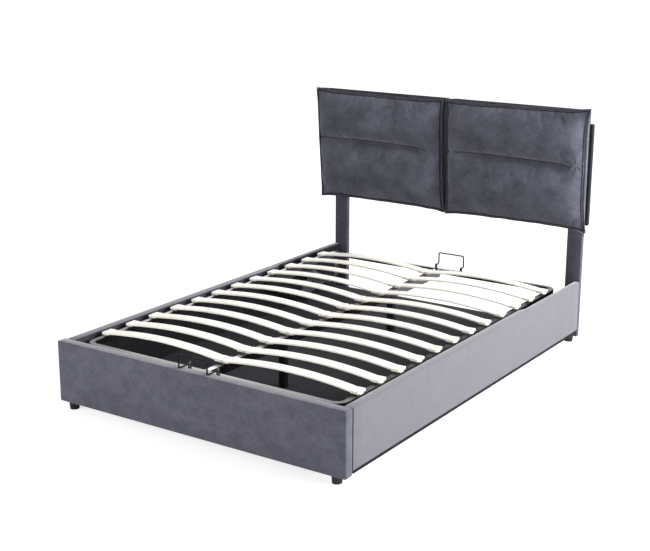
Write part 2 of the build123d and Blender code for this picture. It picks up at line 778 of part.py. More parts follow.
with BuildPart() as retainer_clamps:
    for name, edge_y, outward, reach, rise, middle_x in loop_places:
        clamp_height = rise + clamp_cover
        for sign in sides.values():
            clamp_x = middle_x + sign * loop_width / 2
            face_y = edge_y - outward * (tube_size - clamp_length) / 2
            with BuildSketch(Plane.XZ.offset(-face_y)):
                with Locations((clamp_x, platform_top_z + clamp_height / 2)):
                    bevelled(clamp_width, clamp_height, clamp_bevel)
            extrude(amount=outward * clamp_length)
            with BuildSketch(Plane.XZ.offset(-face_y)):
                with Locations((clamp_x, platform_top_z + rise)):
                    RegularPolygon(wire_radius, wire_sides)
            extrude(amount=outward * clamp_length / 2, mode=Mode.SUBTRACT)
retainer_clamps.part.label = "retainer_clamps"
export_step(retainer_clamps.part, "parts/retainer_clamps.step")

# Support legs: square tubes under the middle rail that stand on the storage floor when it is shut
leg_size = 30
leg_foot_height = 4
leg_foot_lip = 2
leg_floor_gap = 0.3
leg_place_shares = (0.28, 0.745)
leg_bottom_z = floor_top_z + leg_floor_gap + leg_foot_height
leg_top_z = platform_top_z - middle_rail_height
leg_places_y = [platform_start_y + share * platform_length for share in leg_place_shares]
with BuildPart() as support_legs:
    with BuildSketch(Plane.XY.offset(leg_bottom_z)):
        for place_y in leg_places_y:
            with Locations((0, place_y)):
                tube_section(leg_size, leg_size)
    extrude(amount=leg_top_z - leg_bottom_z)
support_legs.part.label = "support_legs"
export_step(support_legs.part, "parts/support_legs.step")

with BuildPart() as support_leg_feet:
    with BuildSketch(Plane.XY.offset(floor_top_z + leg_floor_gap)):
        for place_y in leg_places_y:
            with Locations((0, place_y)):
                bevelled(leg_size + leg_foot_lip, leg_size + leg_foot_lip, tube_corner)
    extrude(amount=leg_foot_height)
support_leg_feet.part.label = "support_leg_feet"
export_step(support_leg_feet.part, "parts/support_leg_feet.step")

# Lift base plates: fixed to the rails, with the two lower pivots of the links and the springs' lower studs
for side, sign in sides.items():
    with BuildPart() as lift_base_plate:
        with BuildSketch(Plane.YZ.offset(base_inner_x if sign > 0 else -half_inner)):
            for place in base_pivots:
                with Locations(place):
                    RegularPolygon(base_plate_rim, rim_sides)
            make_hull()
            window_y = sum(place[0] for place in base_pivots) / len(base_pivots)
            window_z = sum(place[1] for place in base_pivots) / len(base_pivots)
            with Locations((window_y, window_z)):
                RegularPolygon(base_window_radius, rim_sides, mode=Mode.SUBTRACT)
        extrude(amount=plate_thickness)
        add(lift_plate_screws.part, mode=Mode.SUBTRACT)
    lift_base_plate.part.label = f"lift_base_plate_{side}"
    export_step(lift_base_plate.part, f"parts/lift_base_plate_{side}.step")

# Pins of the base plates, each welded on with a collar and with a head beyond its link or spring eye
spring_setback = 14
spring_eye_half = 6
spring_x = platform_half - spring_setback
spring_eye_inner_x = spring_x - spring_eye_half
spring_eye_outer_x = spring_x + spring_eye_half
base_pins = (
    (front_base, front_inner_x, base_inner_x),
    (rear_base, rear_inner_x, rear_outer_x + face_play),
    (spring_base, spring_eye_inner_x, spring_eye_outer_x + face_play),
)
with BuildPart() as lift_base_pins:
    for sign in sides.values():
        for place, inner_face_x, collar_x in base_pins:
            head_x = inner_face_x - face_play
            across(pin_radius, sign, place, head_x, collar_x)
            prism_across(pin_head_radius, head_sides, sign, place, head_x - pin_head, head_x)
            if collar_x < base_inner_x:
                prism_across(pin_head_radius, head_sides, sign, place, collar_x, base_inner_x)
lift_base_pins.part.label = "lift_base_pins"
export_step(lift_base_pins.part, "parts/lift_base_pins.step")

# Front and rear links: flat steel bars with rounded ends, bored at both ends
for side, sign in sides.items():
    with BuildPart() as front_link:
        with BuildSketch(Plane.YZ.offset(front_inner_x if sign > 0 else -front_outer_x)):
            for place in (front_base, front_arm):
                with Locations(place):
                    RegularPolygon(link_half_width, rim_sides)
            make_hull()
            for place in (front_base, front_arm):
                with Locations(place):
                    Circle(pin_radius + pin_play, mode=Mode.SUBTRACT)
        extrude(amount=plate_thickness)
    front_link.part.label = f"front_link_{side}"
    export_step(front_link.part, f"parts/front_link_{side}.step")

    with BuildPart() as rear_link:
        with BuildSketch(Plane.YZ.offset(rear_inner_x if sign > 0 else -rear_outer_x)):
            for place in (rear_base, rear_arm):
                with Locations(place):
                    RegularPolygon(link_half_width, rim_sides)
            make_hull()
            with Locations(rear_base):
                Circle(pin_radius + pin_play, mode=Mode.SUBTRACT)
        extrude(amount=plate_thickness)
    rear_link.part.label = f"rear_link_{side}"
    export_step(rear_link.part, f"parts/rear_link_{side}.step")

with BuildPart() as rear_link_pins:
    for sign in sides.values():
        head_x = platform_half - face_play
        across(pin_radius, sign, rear_arm, head_x, rear_inner_x)
        prism_across(pin_head_radius, head_sides, sign, rear_arm, head_x - pin_head, head_x)
rear_link_pins.part.label = "rear_link_pins"
export_step(rear_link_pins.part, "parts/rear_link_pins.step")

# Lift arm plates: welded to the outer faces of the side tubes
arm_pivots = (front_arm, rear_arm, spring_arm)
for side, sign in sides.items():
    with BuildPart() as lift_arm_plate:
        with BuildSketch(Plane.YZ.offset(platform_half if sign > 0 else -arm_outer_x)):
            for place in arm_pivots:
                with Locations(place):
                    RegularPolygon(arm_plate_rim, rim_sides)
            for place_y in (spring_arm[0], rear_arm[0]):
                with Locations((place_y, platform_top_z - arm_plate_rim)):
                    RegularPolygon(arm_plate_rim - tube_wall, rim_sides)
            make_hull()
            with Locations(rear_arm):
                Circle(pin_radius + open_pin_play, mode=Mode.SUBTRACT)
        extrude(amount=plate_thickness)
    lift_arm_plate.part.label = f"lift_arm_plate_{side}"
    export_step(lift_arm_plate.part, f"parts/lift_arm_plate_{side}.step")

with BuildPart() as lift_arm_pins:
    for sign in sides.values():
        collar_x = front_inner_x - face_play
        head_x = front_outer_x + face_play
        across(pin_radius, sign, front_arm, collar_x, head_x)
        prism_across(pin_head_radius, head_sides, sign, front_arm, arm_outer_x, collar_x)
        prism_across(pin_head_radius, head_sides, sign, front_arm, head_x, head_x + pin_head)
lift_arm_pins.part.label = "lift_arm_pins"
export_step(lift_arm_pins.part, "parts/lift_arm_pins.step")

# Gas springs: a tube on the lower pin, and a rod that slides in it and ends in an eye with its own stud
spring_tube_radius = 11
spring_rod_radius = 5
spring_eye_radius = 10
spring_stud_radius = 6
spring_neck_share = 0.05
spring_mouth_share = 0.915
spring_rod_share = 0.55
spring_bore_share = 0.5
spring_run = (spring_arm[0] - spring_base[0], spring_arm[1] - spring_base[1])
spring_length = hypot(*spring_run)
spring_direction = (0, spring_run[0] / spring_length, spring_run[1] / spring_length)


def along_spring(sign, share):
    """Plane square to the gas spring at a share of its length from the lower pin."""
    origin = (
        sign * spring_x,
        spring_base[0] + share * spring_run[0],
        spring_base[1] + share * spring_run[1],
    )
    return Plane(origin=origin, x_dir=(1, 0, 0), z_dir=spring_direction)


for side, sign in sides.items():
    with BuildPart() as gas_spring_tube:
        prism_across(spring_eye_radius, rim_sides, sign, spring_base, spring_eye_inner_x, spring_eye_outer_x)
        with BuildSketch(along_spring(sign, 0)):
            RegularPolygon(spring_rod_radius, shank_sides)
        extrude(amount=spring_neck_share * spring_length)
        with BuildSketch(along_spring(sign, spring_neck_share)):
            RegularPolygon(spring_tube_radius, rim_sides)
        extrude(amount=(spring_mouth_share - spring_neck_share) * spring_length)
        with BuildSketch(along_spring(sign, spring_bore_share)):
            Circle(spring_rod_radius + pin_play)
        extrude(amount=(spring_mouth_share - spring_bore_share) * spring_length, mode=Mode.SUBTRACT)
        across(pin_radius + pin_play, sign, spring_base, spring_eye_inner_x, spring_eye_outer_x, mode=Mode.SUBTRACT)
    gas_spring_tube.part.label = f"gas_spring_tube_{side}"
    export_step(gas_spring_tube.part, f"parts/gas_spring_tube_{side}.step")

    with BuildPart() as gas_spring_rod:
        with BuildSketch(along_spring(sign, spring_rod_share)):
            Circle(spring_rod_radius)
        extrude(amount=(1 - spring_rod_share) * spring_length)
        prism_across(spring_eye_radius, rim_sides, sign, spring_arm, spring_eye_inner_x, spring_eye_outer_x)
        stud_end_x = platform_half - layer_play
        prism_across(spring_stud_radius, head_sides, sign, spring_arm, spring_eye_outer_x, stud_end_x)
    gas_spring_rod.part.label = f"gas_spring_rod_{side}"
    export_step(gas_spring_rod.part, f"parts/gas_spring_rod_{side}.step")
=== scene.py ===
"""Looks of the ottoman storage bed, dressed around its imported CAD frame.

Metres, +Z up, +Y towards the headboard, +X to the right as seen from the foot of the bed.
"""
import logging
import math
from collections.abc import Callable, Iterable, Iterator, Sequence
from contextlib import contextmanager
from dataclasses import dataclass, field
from enum import Enum

import bpy
from mathutils import Matrix, Quaternion, Vector, noise


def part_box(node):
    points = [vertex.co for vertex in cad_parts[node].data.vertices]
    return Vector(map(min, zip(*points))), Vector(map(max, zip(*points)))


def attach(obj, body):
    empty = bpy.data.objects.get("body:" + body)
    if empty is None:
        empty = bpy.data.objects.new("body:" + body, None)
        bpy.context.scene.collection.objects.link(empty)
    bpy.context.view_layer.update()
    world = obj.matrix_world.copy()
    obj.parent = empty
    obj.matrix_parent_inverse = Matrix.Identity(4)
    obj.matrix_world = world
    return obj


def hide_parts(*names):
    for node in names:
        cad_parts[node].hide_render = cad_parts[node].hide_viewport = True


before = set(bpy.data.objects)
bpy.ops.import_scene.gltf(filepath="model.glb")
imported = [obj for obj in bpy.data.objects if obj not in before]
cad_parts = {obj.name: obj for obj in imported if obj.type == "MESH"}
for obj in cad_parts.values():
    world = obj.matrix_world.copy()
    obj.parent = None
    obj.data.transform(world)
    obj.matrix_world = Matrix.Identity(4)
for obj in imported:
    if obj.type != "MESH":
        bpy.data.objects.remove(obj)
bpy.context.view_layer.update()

LOG = logging.getLogger("storage_bed")
# Points on each bend of a wire
BEND_STEPS = 8
# Closer than this, two places count as the same
NEAR = 1e-5
Point = tuple[float, float, float]


class Side(Enum):
    """The two sides of the bed, as seen from its foot."""

    LEFT = -1
    RIGHT = 1

    @property
    def word(self) -> str:
        """Word for the side that the CAD nodes end with."""
        return self.name.lower()


# ---------------------------------------------------------------- colours and nodes


def linear(hex_colour: str) -> tuple[float, float, float, float]:
    """Turns an sRGB hex colour to the linear colour that the shaders take.

    Args:
        hex_colour: Six hex digits, such as "6a6973".

    Returns:
        Red, green, blue and an alpha of one.
    """
    channels = [int(hex_colour[i : i + 2], 16) / 255 for i in (0, 2, 4)]
    red, green, blue = (c / 12.92 if c <= 0.04045 else ((c + 0.055) / 1.055) ** 2.4
                        for c in channels)
    return red, green, blue, 1.0


def add_node(material: bpy.types.Material, kind: str, settings: dict | None = None,
             inputs: dict | None = None, links: dict | None = None) -> bpy.types.Node:
    """Adds a shader node with its settings, input values and links.

    Args:
        material: Material or world that the node goes into.
        kind: Blender's name for the node type.
        settings: Properties of the node by name.
        inputs: Values by input name or number.
        links: Output sockets by input name or number.

    Returns:
        The new node.
    """
    node = material.node_tree.nodes.new(kind)
    for name, value in (settings or {}).items():
        setattr(node, name, value)
    for name, value in (inputs or {}).items():
        node.inputs[name].default_value = value
    for name, socket in (links or {}).items():
        material.node_tree.links.new(socket, node.inputs[name])
    return node


def blank_material(name: str, inputs: dict) -> tuple[bpy.types.Material, bpy.types.Node]:
    """Makes a material that holds a surface shader and its output.

    Args:
        name: Name of the material.
        inputs: Values of the shader by input name.

    Returns:
        The material and its surface shader.
    """
    material = bpy.data.materials.new(name)
    material.use_nodes = True
    material.node_tree.nodes.clear()
    shader = add_node(material, "ShaderNodeBsdfPrincipled", inputs=inputs)
    add_node(material, "ShaderNodeOutputMaterial", links={"Surface": shader.outputs[0]})
    return material, shader


def noise_on(material: bpy.types.Material, size_mm: float, detail: float = 3,
             stretch: Point = (1, 1, 1), roughness: float = 0.5) -> bpy.types.NodeSocket:
    """Adds noise on the piece's own coordinates with patches of a real size.

    Args:
        material: Material that the noise goes into.
        size_mm: Size of a patch, in millimetres.
        detail: Octaves of finer noise in it.
        stretch: How much longer the patches are along each axis.
        roughness: Strength of the finer octaves.

    Returns:
        The noise value, from zero to one.
    """
    place = add_node(material, "ShaderNodeTexCoord")
    turned = add_node(material, "ShaderNodeMapping", inputs={"Scale": [1 / s for s in stretch]},
                      links={"Vector": place.outputs["Object"]})
    made = add_node(material, "ShaderNodeTexNoise",
                    inputs={"Scale": 1000 / size_mm, "Detail": detail, "Roughness": roughness},
                    links={"Vector": turned.outputs[0]})
    return made.outputs["Fac"]


def ramp_on(material: bpy.types.Material, value: bpy.types.NodeSocket,
            stops: Sequence[tuple[float, str]]) -> bpy.types.NodeSocket:
    """Turns a value to a colour through a ramp.

    Args:
        material: Material that the ramp goes into.
        value: Value from zero to one.
        stops: Places on the ramp with their sRGB hex colours.

    Returns:
        The colour.
    """
    ramp = add_node(material, "ShaderNodeValToRGB", links={"Fac": value})
    elements = ramp.color_ramp.elements
    while len(elements) < len(stops):
        elements.new(0.5)
    for element, (place, colour) in zip(elements, stops):
        element.position = place
        element.color = linear(colour)
    return ramp.outputs["Color"]


def bump_on(material: bpy.types.Material, shader: bpy.types.Node, height: bpy.types.NodeSocket,
            depth_mm: float, under: bpy.types.NodeSocket | None = None) -> bpy.types.NodeSocket:
    """Adds bump of a real depth to a shader.

    Args:
        material: Material that the bump goes into.
        shader: Shader whose normal it turns.
        height: Height from zero to one.
        depth_mm: Depth of the relief, in millimetres.
        under: Normal of a coarser relief below this one.

    Returns:
        The normal.
    """
    links = {"Height": height}
    if under is not None:
        links["Normal"] = under
    bump = add_node(material, "ShaderNodeBump", inputs={"Distance": depth_mm / 1000}, links=links)
    material.node_tree.links.new(bump.outputs[0], shader.inputs["Normal"])
    return bump.outputs[0]


# ---------------------------------------------------------------- finishes


@dataclass(frozen=True)
class Velvet:
    """Short-pile polyester velvet, woven and dyed grey, brushed this way and that in patches."""

    name: str
    dark: str
    light: str
    sheen: float = 0.55
    patch_mm: float = 90
    pile_mm: float = 5
    relief_mm: float = 0.5
    tuft_mm: float = 0.25
    tuft_share: float = 0.3

    def build(self) -> bpy.types.Material:
        """Makes the material: a soft grey whose pile leans in patches and shines at its edges."""
        material, shader = blank_material(self.name, {
            "Roughness": 0.9, "Specular IOR Level": 0.15, "Sheen Weight": self.sheen,
            "Sheen Roughness": 0.35, "Sheen Tint": linear("e8e7e9")})
        # The pile lies over in patches, which show as lighter and darker clouds
        clouds = noise_on(material, self.patch_mm, 6, (1.2, 1.2, 1), 0.68)
        # Pile tufts are under 1 mm, and are drawn coarser so that they show
        tufts = noise_on(material, self.pile_mm, 2)
        mixed = add_node(material, "ShaderNodeMix", {"data_type": "FLOAT"},
                         {"Factor": self.tuft_share}, {2: clouds, 3: tufts})
        colour = ramp_on(material, mixed.outputs[0], [(0.36, self.dark), (0.64, self.light)])
        material.node_tree.links.new(colour, shader.inputs["Base Color"])
        coarse = bump_on(material, shader, clouds, self.relief_mm)
        bump_on(material, shader, tufts, self.tuft_mm, coarse)
        return material


@dataclass(frozen=True)
class Coated:
    """Hard finish with a speckled colour, such as powder coat, plating, foil or moulded plastic."""

    name: str
    dark: str
    light: str
    roughness: float
    metallic: float = 0.0
    coat: float = 0.0
    grain_mm: float = 4
    relief_mm: float = 0.02
    stretch: Point = (1, 1, 1)
    specular: float = 0.5

    def build(self) -> bpy.types.Material:
        """Makes the material: two near tones in a fine grain with a slight relief."""
        material, shader = blank_material(self.name, {
            "Roughness": self.roughness, "Metallic": self.metallic, "Coat Weight": self.coat,
            "Coat Roughness": 0.15, "Specular IOR Level": self.specular})
        grain = noise_on(material, self.grain_mm, 3, self.stretch)
        colour = ramp_on(material, grain, [(0.3, self.dark), (0.7, self.light)])
        material.node_tree.links.new(colour, shader.inputs["Base Color"])
        bump_on(material, shader, grain, self.relief_mm)
        return material


# Grey velvet of the footboard: matt, with a pale lavender bloom where it turns away
FRAME_VELVET = Velvet("grey_velvet_of_footboard", "4a4a54", "5e5e69", sheen=0.7, patch_mm=40)
# The long rails are brushed one way, so their pile shows hardly any patches. Its grey is lighter
# than the footboard's: painted light of the key lamp on the right rail's outer side
LIT_RAIL_VELVET = Velvet("grey_velvet_of_rails", "606066", "67666c", sheen=0.8, patch_mm=60,
                     relief_mm=0.3)
# A darker copy of the velvet: painted shade on the headboard's posts and on the left rail
SHADED_BACK_VELVET = Velvet("grey_velvet_of_headboard", "42424b", "504f5a", sheen=0.6)
CUSHION_VELVET = Velvet("grey_velvet_of_cushions", "3d3e47", "5e5f6a", sheen=1.0, patch_mm=130,
                        relief_mm=0.8)
# The same velvet, darker: painted shade on the rails' inner faces and on the strips turned over
# inside them
SHADED_VELVET = Velvet("grey_velvet_painted_inner_shade", "2e2e36", "3a3a43", sheen=0.12, patch_mm=70)
# Darker velvet of the welts and of the cushions' front along the seam: painted shade of the seams'
# valleys
WELT_SHADE_VELVET = Velvet("grey_velvet_of_welts", "3c3c45", "4a4a53", sheen=0.3, patch_mm=40)
# Near-black velvet: painted shade on the tops of the cushions' gussets and on the headboard panel
# behind the cushions
GUSSET_SHADE_VELVET = Velvet("grey_velvet_of_gussets", "1b1b21", "26262d", sheen=0.03, patch_mm=70)
# Near-black velvet of the lines laid in the cushions' seams and channels: painted shade of their
# grooves
SEAM_SHADE_VELVET = Velvet("grey_velvet_painted_seam_shade", "17171c", "222228", sheen=0.05, patch_mm=30)
# Spunbonded cloth, matt and slightly fluffy: black lining on the cores, and the same black on the
# strips under the rails as painted shade; charcoal on the floor
LINING_AND_SHADE_CLOTH = Coated("black_spunbond_lining", "141417", "1d1d21", 0.95, grain_mm=3,
                      relief_mm=0.3, specular=0.2)
FLOOR_CLOTH = Coated("charcoal_spunbond_floor", "302f33", "3e3d42", 0.95, grain_mm=3,
                     relief_mm=0.3, specular=0.2)
# Steel tube, powder coated black: smooth, with a shine where light grazes it
BLACK_POWDER_COAT = Coated("black_powder_coated_steel", "060607", "0c0c0e", 0.3, coat=0.35,
                           grain_mm=1.5)
# The same coat on the middle rail, rubbed shiny by the slats' holders
WORN_POWDER_COAT = Coated("black_powder_coat_rubbed_shiny", "08080a", "101013", 0.14, coat=1.0,
                          grain_mm=1.5)
# Bent wire of the retainers: the same black, satin
BLACK_WIRE = Coated("black_coated_wire", "040405", "08080a", 0.6, grain_mm=1.5, specular=0.15)
# Sprung slats of birch and poplar ply under a pale cream foil: nearly white, faint streaks
SLAT_FOIL = Coated("cream_birch_slat_foil", "f0ebe0", "f8f4ea", 0.5, grain_mm=10,
                   stretch=(14, 1, 1))
# Slat holders of injection moulded polypropylene: milky white, soft shine
WHITE_PLASTIC = Coated("white_moulded_polypropylene", "ebe7da", "f4f0e5", 0.4, grain_mm=12,
                       relief_mm=0.03)
# Feet, glides and clips of moulded black plastic: dark with a soft highlight
BLACK_PLASTIC = Coated("black_moulded_plastic", "0b0b0d", "141417", 0.38, grain_mm=3,
                       relief_mm=0.03)
# Zinc plated steel of the lift and brackets: cool grey metal, faintly cloudy
ZINC_STEEL = Coated("zinc_plated_steel", "65676d", "85878e", 0.42, metallic=1.0, grain_mm=9)
# Yellow chromated bolts: golden metal with a faint rainbow
GOLD_ZINC = Coated("yellow_chromated_steel", "a8894a", "d9bd7a", 0.35, metallic=1.0, grain_mm=5)
# Ground rod of the gas spring: bright chromed steel
BRIGHT_STEEL = Coated("chromed_steel_rod", "c9cbd0", "e2e4e8", 0.12, metallic=1.0, grain_mm=6)
# Particle board and battens under the cloth: pale brown chips
BOARD = Coated("particle_board", "7d6a51", "a8946f", 0.8, grain_mm=5, relief_mm=0.15)


# ---------------------------------------------------------------- shaping by hand


def deselect() -> None:
    """Leaves edit mode and deselects every object."""
    if bpy.context.object is not None and bpy.context.object.mode != "OBJECT":
        bpy.ops.object.mode_set(mode="OBJECT")
    bpy.ops.object.select_all(action="DESELECT")


def make_active(piece: bpy.types.Object) -> None:
    """Selects one piece alone and makes it the active one."""
    deselect()
    piece.select_set(True)
    bpy.context.view_layer.objects.active = piece


def settle(piece: bpy.types.Object) -> None:
    """Moves a piece's place, turn and size into its mesh."""
    make_active(piece)
    bpy.ops.object.transform_apply(location=True, rotation=True, scale=True)


@contextmanager
def editing(piece: bpy.types.Object, mode: str = "FACE") -> Iterator[None]:
    """Keeps a piece in edit mode for the operators inside.

    Args:
        piece: Piece to edit.
        mode: What is selected, VERT, EDGE or FACE.
    """
    make_active(piece)
    bpy.ops.object.mode_set(mode="EDIT")
    bpy.ops.mesh.select_mode(type=mode)
    yield
    bpy.ops.object.mode_set(mode="OBJECT")


def pick_nothing(mesh: bpy.types.Mesh) -> None:
    """Deselects every part of a mesh."""
    for item in (*mesh.vertices, *mesh.edges, *mesh.polygons):
        item.select = False


def pick_edges(piece: bpy.types.Object, wanted: Callable[[Vector, Vector], bool]) -> None:
    """Selects the edges whose two ends pass a test, for the next edit.

    Args:
        piece: Piece in object mode.
        wanted: Test of an edge's two ends.
    """
    mesh = piece.data
    pick_nothing(mesh)
    for edge in mesh.edges:
        first, last = (mesh.vertices[i].co for i in edge.vertices)
        edge.select = wanted(first, last)


def pick_faces(piece: bpy.types.Object, wanted: Callable[[Vector, Vector], bool]) -> None:
    """Selects the faces whose centre and normal pass a test, for the next edit.

    Args:
        piece: Piece in object mode.
        wanted: Test of a face's centre and normal.
    """
    pick_nothing(piece.data)
    for face in piece.data.polygons:
        face.select = wanted(face.center, face.normal)


def named(piece: bpy.types.Object, name: str) -> bpy.types.Object:
    """Gives a piece and its mesh one name, and hands the piece back."""
    piece.name = piece.data.name = name
    return piece


def block(name: str, low: Sequence[float], high: Sequence[float]) -> bpy.types.Object:
    """Starts a piece from a box between two corners.

    Args:
        name: Name of the piece.
        low: Lowest corner.
        high: Highest corner.

    Returns:
        The piece, with its place in its mesh.
    """
    deselect()
    bpy.ops.mesh.primitive_cube_add(size=1, location=[(a + b) / 2 for a, b in zip(low, high)],
                                    scale=[b - a for a, b in zip(low, high)])
    piece = named(bpy.context.active_object, name)
    settle(piece)
    return piece


def finish_with(piece: bpy.types.Object, kind: str, **settings: object) -> None:
    """Adds a modifier to a piece and applies it.

    Args:
        piece: Piece to finish.
        kind: Blender's name for the modifier type.
        **settings: Properties of the modifier.
    """
    make_active(piece)
    modifier = piece.modifiers.new(kind.lower(), kind)
    for name, value in settings.items():
        setattr(modifier, name, value)
    bpy.ops.object.modifier_apply(modifier=modifier.name)


def ease_edges(piece: bpy.types.Object, width: float, degrees: float, segments: int = 2) -> None:
    """Rounds the edges of a piece that are sharper than an angle.

    Args:
        piece: Piece to finish.
        width: Width of the rounding.
        degrees: Angle from which an edge is rounded.
        segments: Strips that the rounding is made of.
    """
    finish_with(piece, "BEVEL", width=width, segments=segments, limit_method="ANGLE",
                angle_limit=math.radians(degrees))


def parts_between(start: float, end: float, count: int) -> list[float]:
    """Places that split a length into a count of equal parts."""
    return [start + (end - start) * k / count for k in range(1, count)]


def cut_across(piece: bpy.types.Object, axis: int, places: Iterable[float]) -> None:
    """Adds cuts all round a piece, square to an axis, without parting it.

    Args:
        piece: Piece to cut.
        axis: Number of the axis, from zero for X.
        places: Where the cuts lie along the axis.
    """
    normal = [float(a == axis) for a in range(3)]
    with editing(piece):
        for place in places:
            bpy.ops.mesh.select_all(action="SELECT")
            bpy.ops.mesh.bisect(plane_co=[place * n for n in normal], plane_no=normal)


def smooth(piece: bpy.types.Object, degrees: float) -> None:
    """Shades a piece smooth, apart from edges sharper than an angle."""
    make_active(piece)
    bpy.ops.object.shade_smooth_by_angle(angle=math.radians(degrees))


def dress(piece: bpy.types.Object, *finishes: bpy.types.Material) -> None:
    """Gives a piece or CAD node its materials, of which the first covers every face."""
    piece.data.materials.clear()
    for finish in finishes:
        piece.data.materials.append(finish)


def copy_of(piece: bpy.types.Object, name: str, offset: Sequence[float]) -> bpy.types.Object:
    """Copies a piece with its own mesh, moved by an offset.

    Args:
        piece: Piece to copy.
        name: Name of the copy.
        offset: How far the copy lies from the piece.

    Returns:
        The copy.
    """
    twin = piece.copy()
    twin.data = piece.data.copy()
    named(twin, name).data.transform(Matrix.Translation(offset))
    bpy.context.scene.collection.objects.link(twin)
    return twin


def joined(pieces: Sequence[bpy.types.Object]) -> bpy.types.Object:
    """Joins pieces into the first of them.

    Args:
        pieces: Pieces to join.

    Returns:
        The joined piece.
    """
    make_active(pieces[0])
    for piece in pieces[1:]:
        piece.select_set(True)
    bpy.ops.object.join()
    return pieces[0]


def blow_up(piece: bpy.types.Object, sewn: Sequence[float], pressure: float, growth: float,
            frames: int, cap: float) -> None:
    """Blows a closed cover up from inside with a cloth simulation.

    Args:
        piece: Cover, a little flatter than it will be.
        sewn: How firmly each point is held, from zero to one.
        pressure: Pressure of the filling.
        growth: Share by which the cloth is cut wider than the cover.
        frames: Steps of the simulation.
        cap: How far a point may move.
    """
    group = piece.vertex_groups.new(name="sewn")
    for index, weight in enumerate(sewn):
        if weight:
            group.add([index], weight, "REPLACE")
    start = [vertex.co.copy() for vertex in piece.data.vertices]
    make_active(piece)
    modifier = piece.modifiers.new("blown_up", "CLOTH")
    cloth = modifier.settings
    for name, value in {
            "quality": 6, "mass": 0.3, "tension_stiffness": 15, "compression_stiffness": 15,
            "shear_stiffness": 5, "bending_stiffness": 0.3, "use_pressure": True,
            "uniform_pressure_force": pressure, "vertex_group_mass": group.name,
            "pin_stiffness": 1, "shrink_min": -growth}.items():
        setattr(cloth, name, value)
    cloth.effector_weights.gravity = 0
    modifier.collision_settings.use_collision = False
    modifier.point_cache.frame_start = 1
    modifier.point_cache.frame_end = frames
    scene = bpy.context.scene
    for frame_number in range(1, frames + 1):
        scene.frame_set(frame_number)
    bpy.ops.object.modifier_apply(modifier=modifier.name)
    scene.frame_set(1)
    furthest = 0.0
    for vertex, place in zip(piece.data.vertices, start):
        way = vertex.co - place
        furthest = max(furthest, way.length)
        if way.length > cap:
            vertex.co = place + way * (cap / way.length)
    piece.vertex_groups.clear()
    LOG.info("%s blown up, furthest point %.1f mm", piece.name, furthest * 1000)


def tube_along(name: str, points: Sequence[Point], radius: float, closed: bool = False,
               corner: float = 0.0) -> bpy.types.Object:
    """Bends a round wire or piping along points and turns it into a mesh.

    Args:
        name: Name of the piece.
        points: Points that the wire follows.
        radius: Radius of the wire.
        closed: Whether it joins its own start.
        corner: Radius of the bend at each inner point, nothing for a smooth line through all.

    Returns:
        The wire's mesh piece.
    """
    curve = bpy.data.curves.new(name, "CURVE")
    curve.dimensions = "3D"
    curve.bevel_depth = radius
    curve.bevel_resolution = 4
    curve.use_fill_caps = not closed
    places = [Vector(p) for p in points]
    if corner:
        rounded = [places[0]]
        for before, here, after in zip(places, places[1:], places[2:]):
            into, out = (here - before).normalized(), (after - here).normalized()
            start, end = here - into * corner, here + out * corner
            for step in range(BEND_STEPS + 1):
                t = step / BEND_STEPS
                rounded.append(start.lerp(here, t).lerp(here.lerp(end, t), t))
        places = rounded + [places[-1]]
    spline = curve.splines.new("POLY")
    spline.points.add(len(places) - 1)
    for point, place in zip(spline.points, places):
        point.co = (*place, 1)
    spline.use_cyclic_u = closed
    spline.use_smooth = True
    piece = bpy.data.objects.new(name, curve)
    bpy.context.scene.collection.objects.link(piece)
    make_active(piece)
    bpy.ops.object.convert(target="MESH")
    return named(bpy.context.active_object, name)


def bulge(share: float, power: float) -> float:
    """Runs from nothing at both ends of a share to one in its middle, flatter for a high power."""
    return 1 - abs(2 * share - 1) ** power


def ramp(distance: float, length: float) -> float:
    """Climbs from nothing to one over a length, and stays there."""
    return min(max(distance / length, 0), 1)


def fading_noise(spot: Sequence[float], away: float, reach: float) -> float:
    """Noise at a spot, which dies away with the distance from where it starts."""
    return noise.noise(Vector(spot)) * math.exp(-away / reach)


# ---------------------------------------------------------------- sub-assemblies


@dataclass
class PaddedBoard:
    """A board of the frame in its padded velvet cover, with rounded edges and a crowned face.

    The cover is the CAD node's box, its lowest and highest corner moved by the two steps.
    """

    node: str
    radius: float
    crown: float
    low_step: Point = (0, 0, 0)
    high_step: Point = (0, 0, 0)
    lumps: float = 0.0012
    lump_scale: float = 9
    spacing: float = 0.06

    def build(self, finish: bpy.types.Material) -> None:
        """Shapes the cover as a rounded box whose faces swell a little, and dresses it.

        Args:
            finish: Velvet of the cover.
        """
        low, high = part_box(self.node)
        low, high = low + Vector(self.low_step), high + Vector(self.high_step)
        size = high - low
        piece = block(self.node + "_velvet", low, high)
        for axis in range(3):
            count = int(size[axis] / self.spacing)
            cut_across(piece, axis, parts_between(low[axis], high[axis], count))

        def on_box_edge(first: Vector, last: Vector) -> bool:
            held = sum(abs(first[axis] - side) < NEAR and abs(last[axis] - side) < NEAR
                       for axis in range(3) for side in (low[axis], high[axis]))
            return held == 2

        pick_edges(piece, on_box_edge)
        with editing(piece, "EDGE"):
            bpy.ops.mesh.bevel(offset=self.radius, segments=5, profile=0.5, affect="EDGES")
        centre = (low + high) / 2
        thin = min(range(3), key=lambda axis: size[axis])
        for vertex in piece.data.vertices:
            place = vertex.co
            away = [(place[a] - centre[a]) / (size[a] / 2) for a in range(3)]
            fullness = math.prod(1 - abs(away[a]) ** 6 for a in range(3) if a != thin)
            outward = math.copysign(1, away[thin])
            ripple = noise.noise(place * self.lump_scale) * self.lumps
            place[thin] -= outward * (1 - fullness) * self.crown * (abs(away[thin]) > 0.3)
            place[thin] += outward * fullness * ripple
        smooth(piece, 60)
        dress(piece, finish)
        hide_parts(self.node)
        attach(piece, "frame")
        LOG.info("%s: %d faces", piece.name, len(piece.data.polygons))


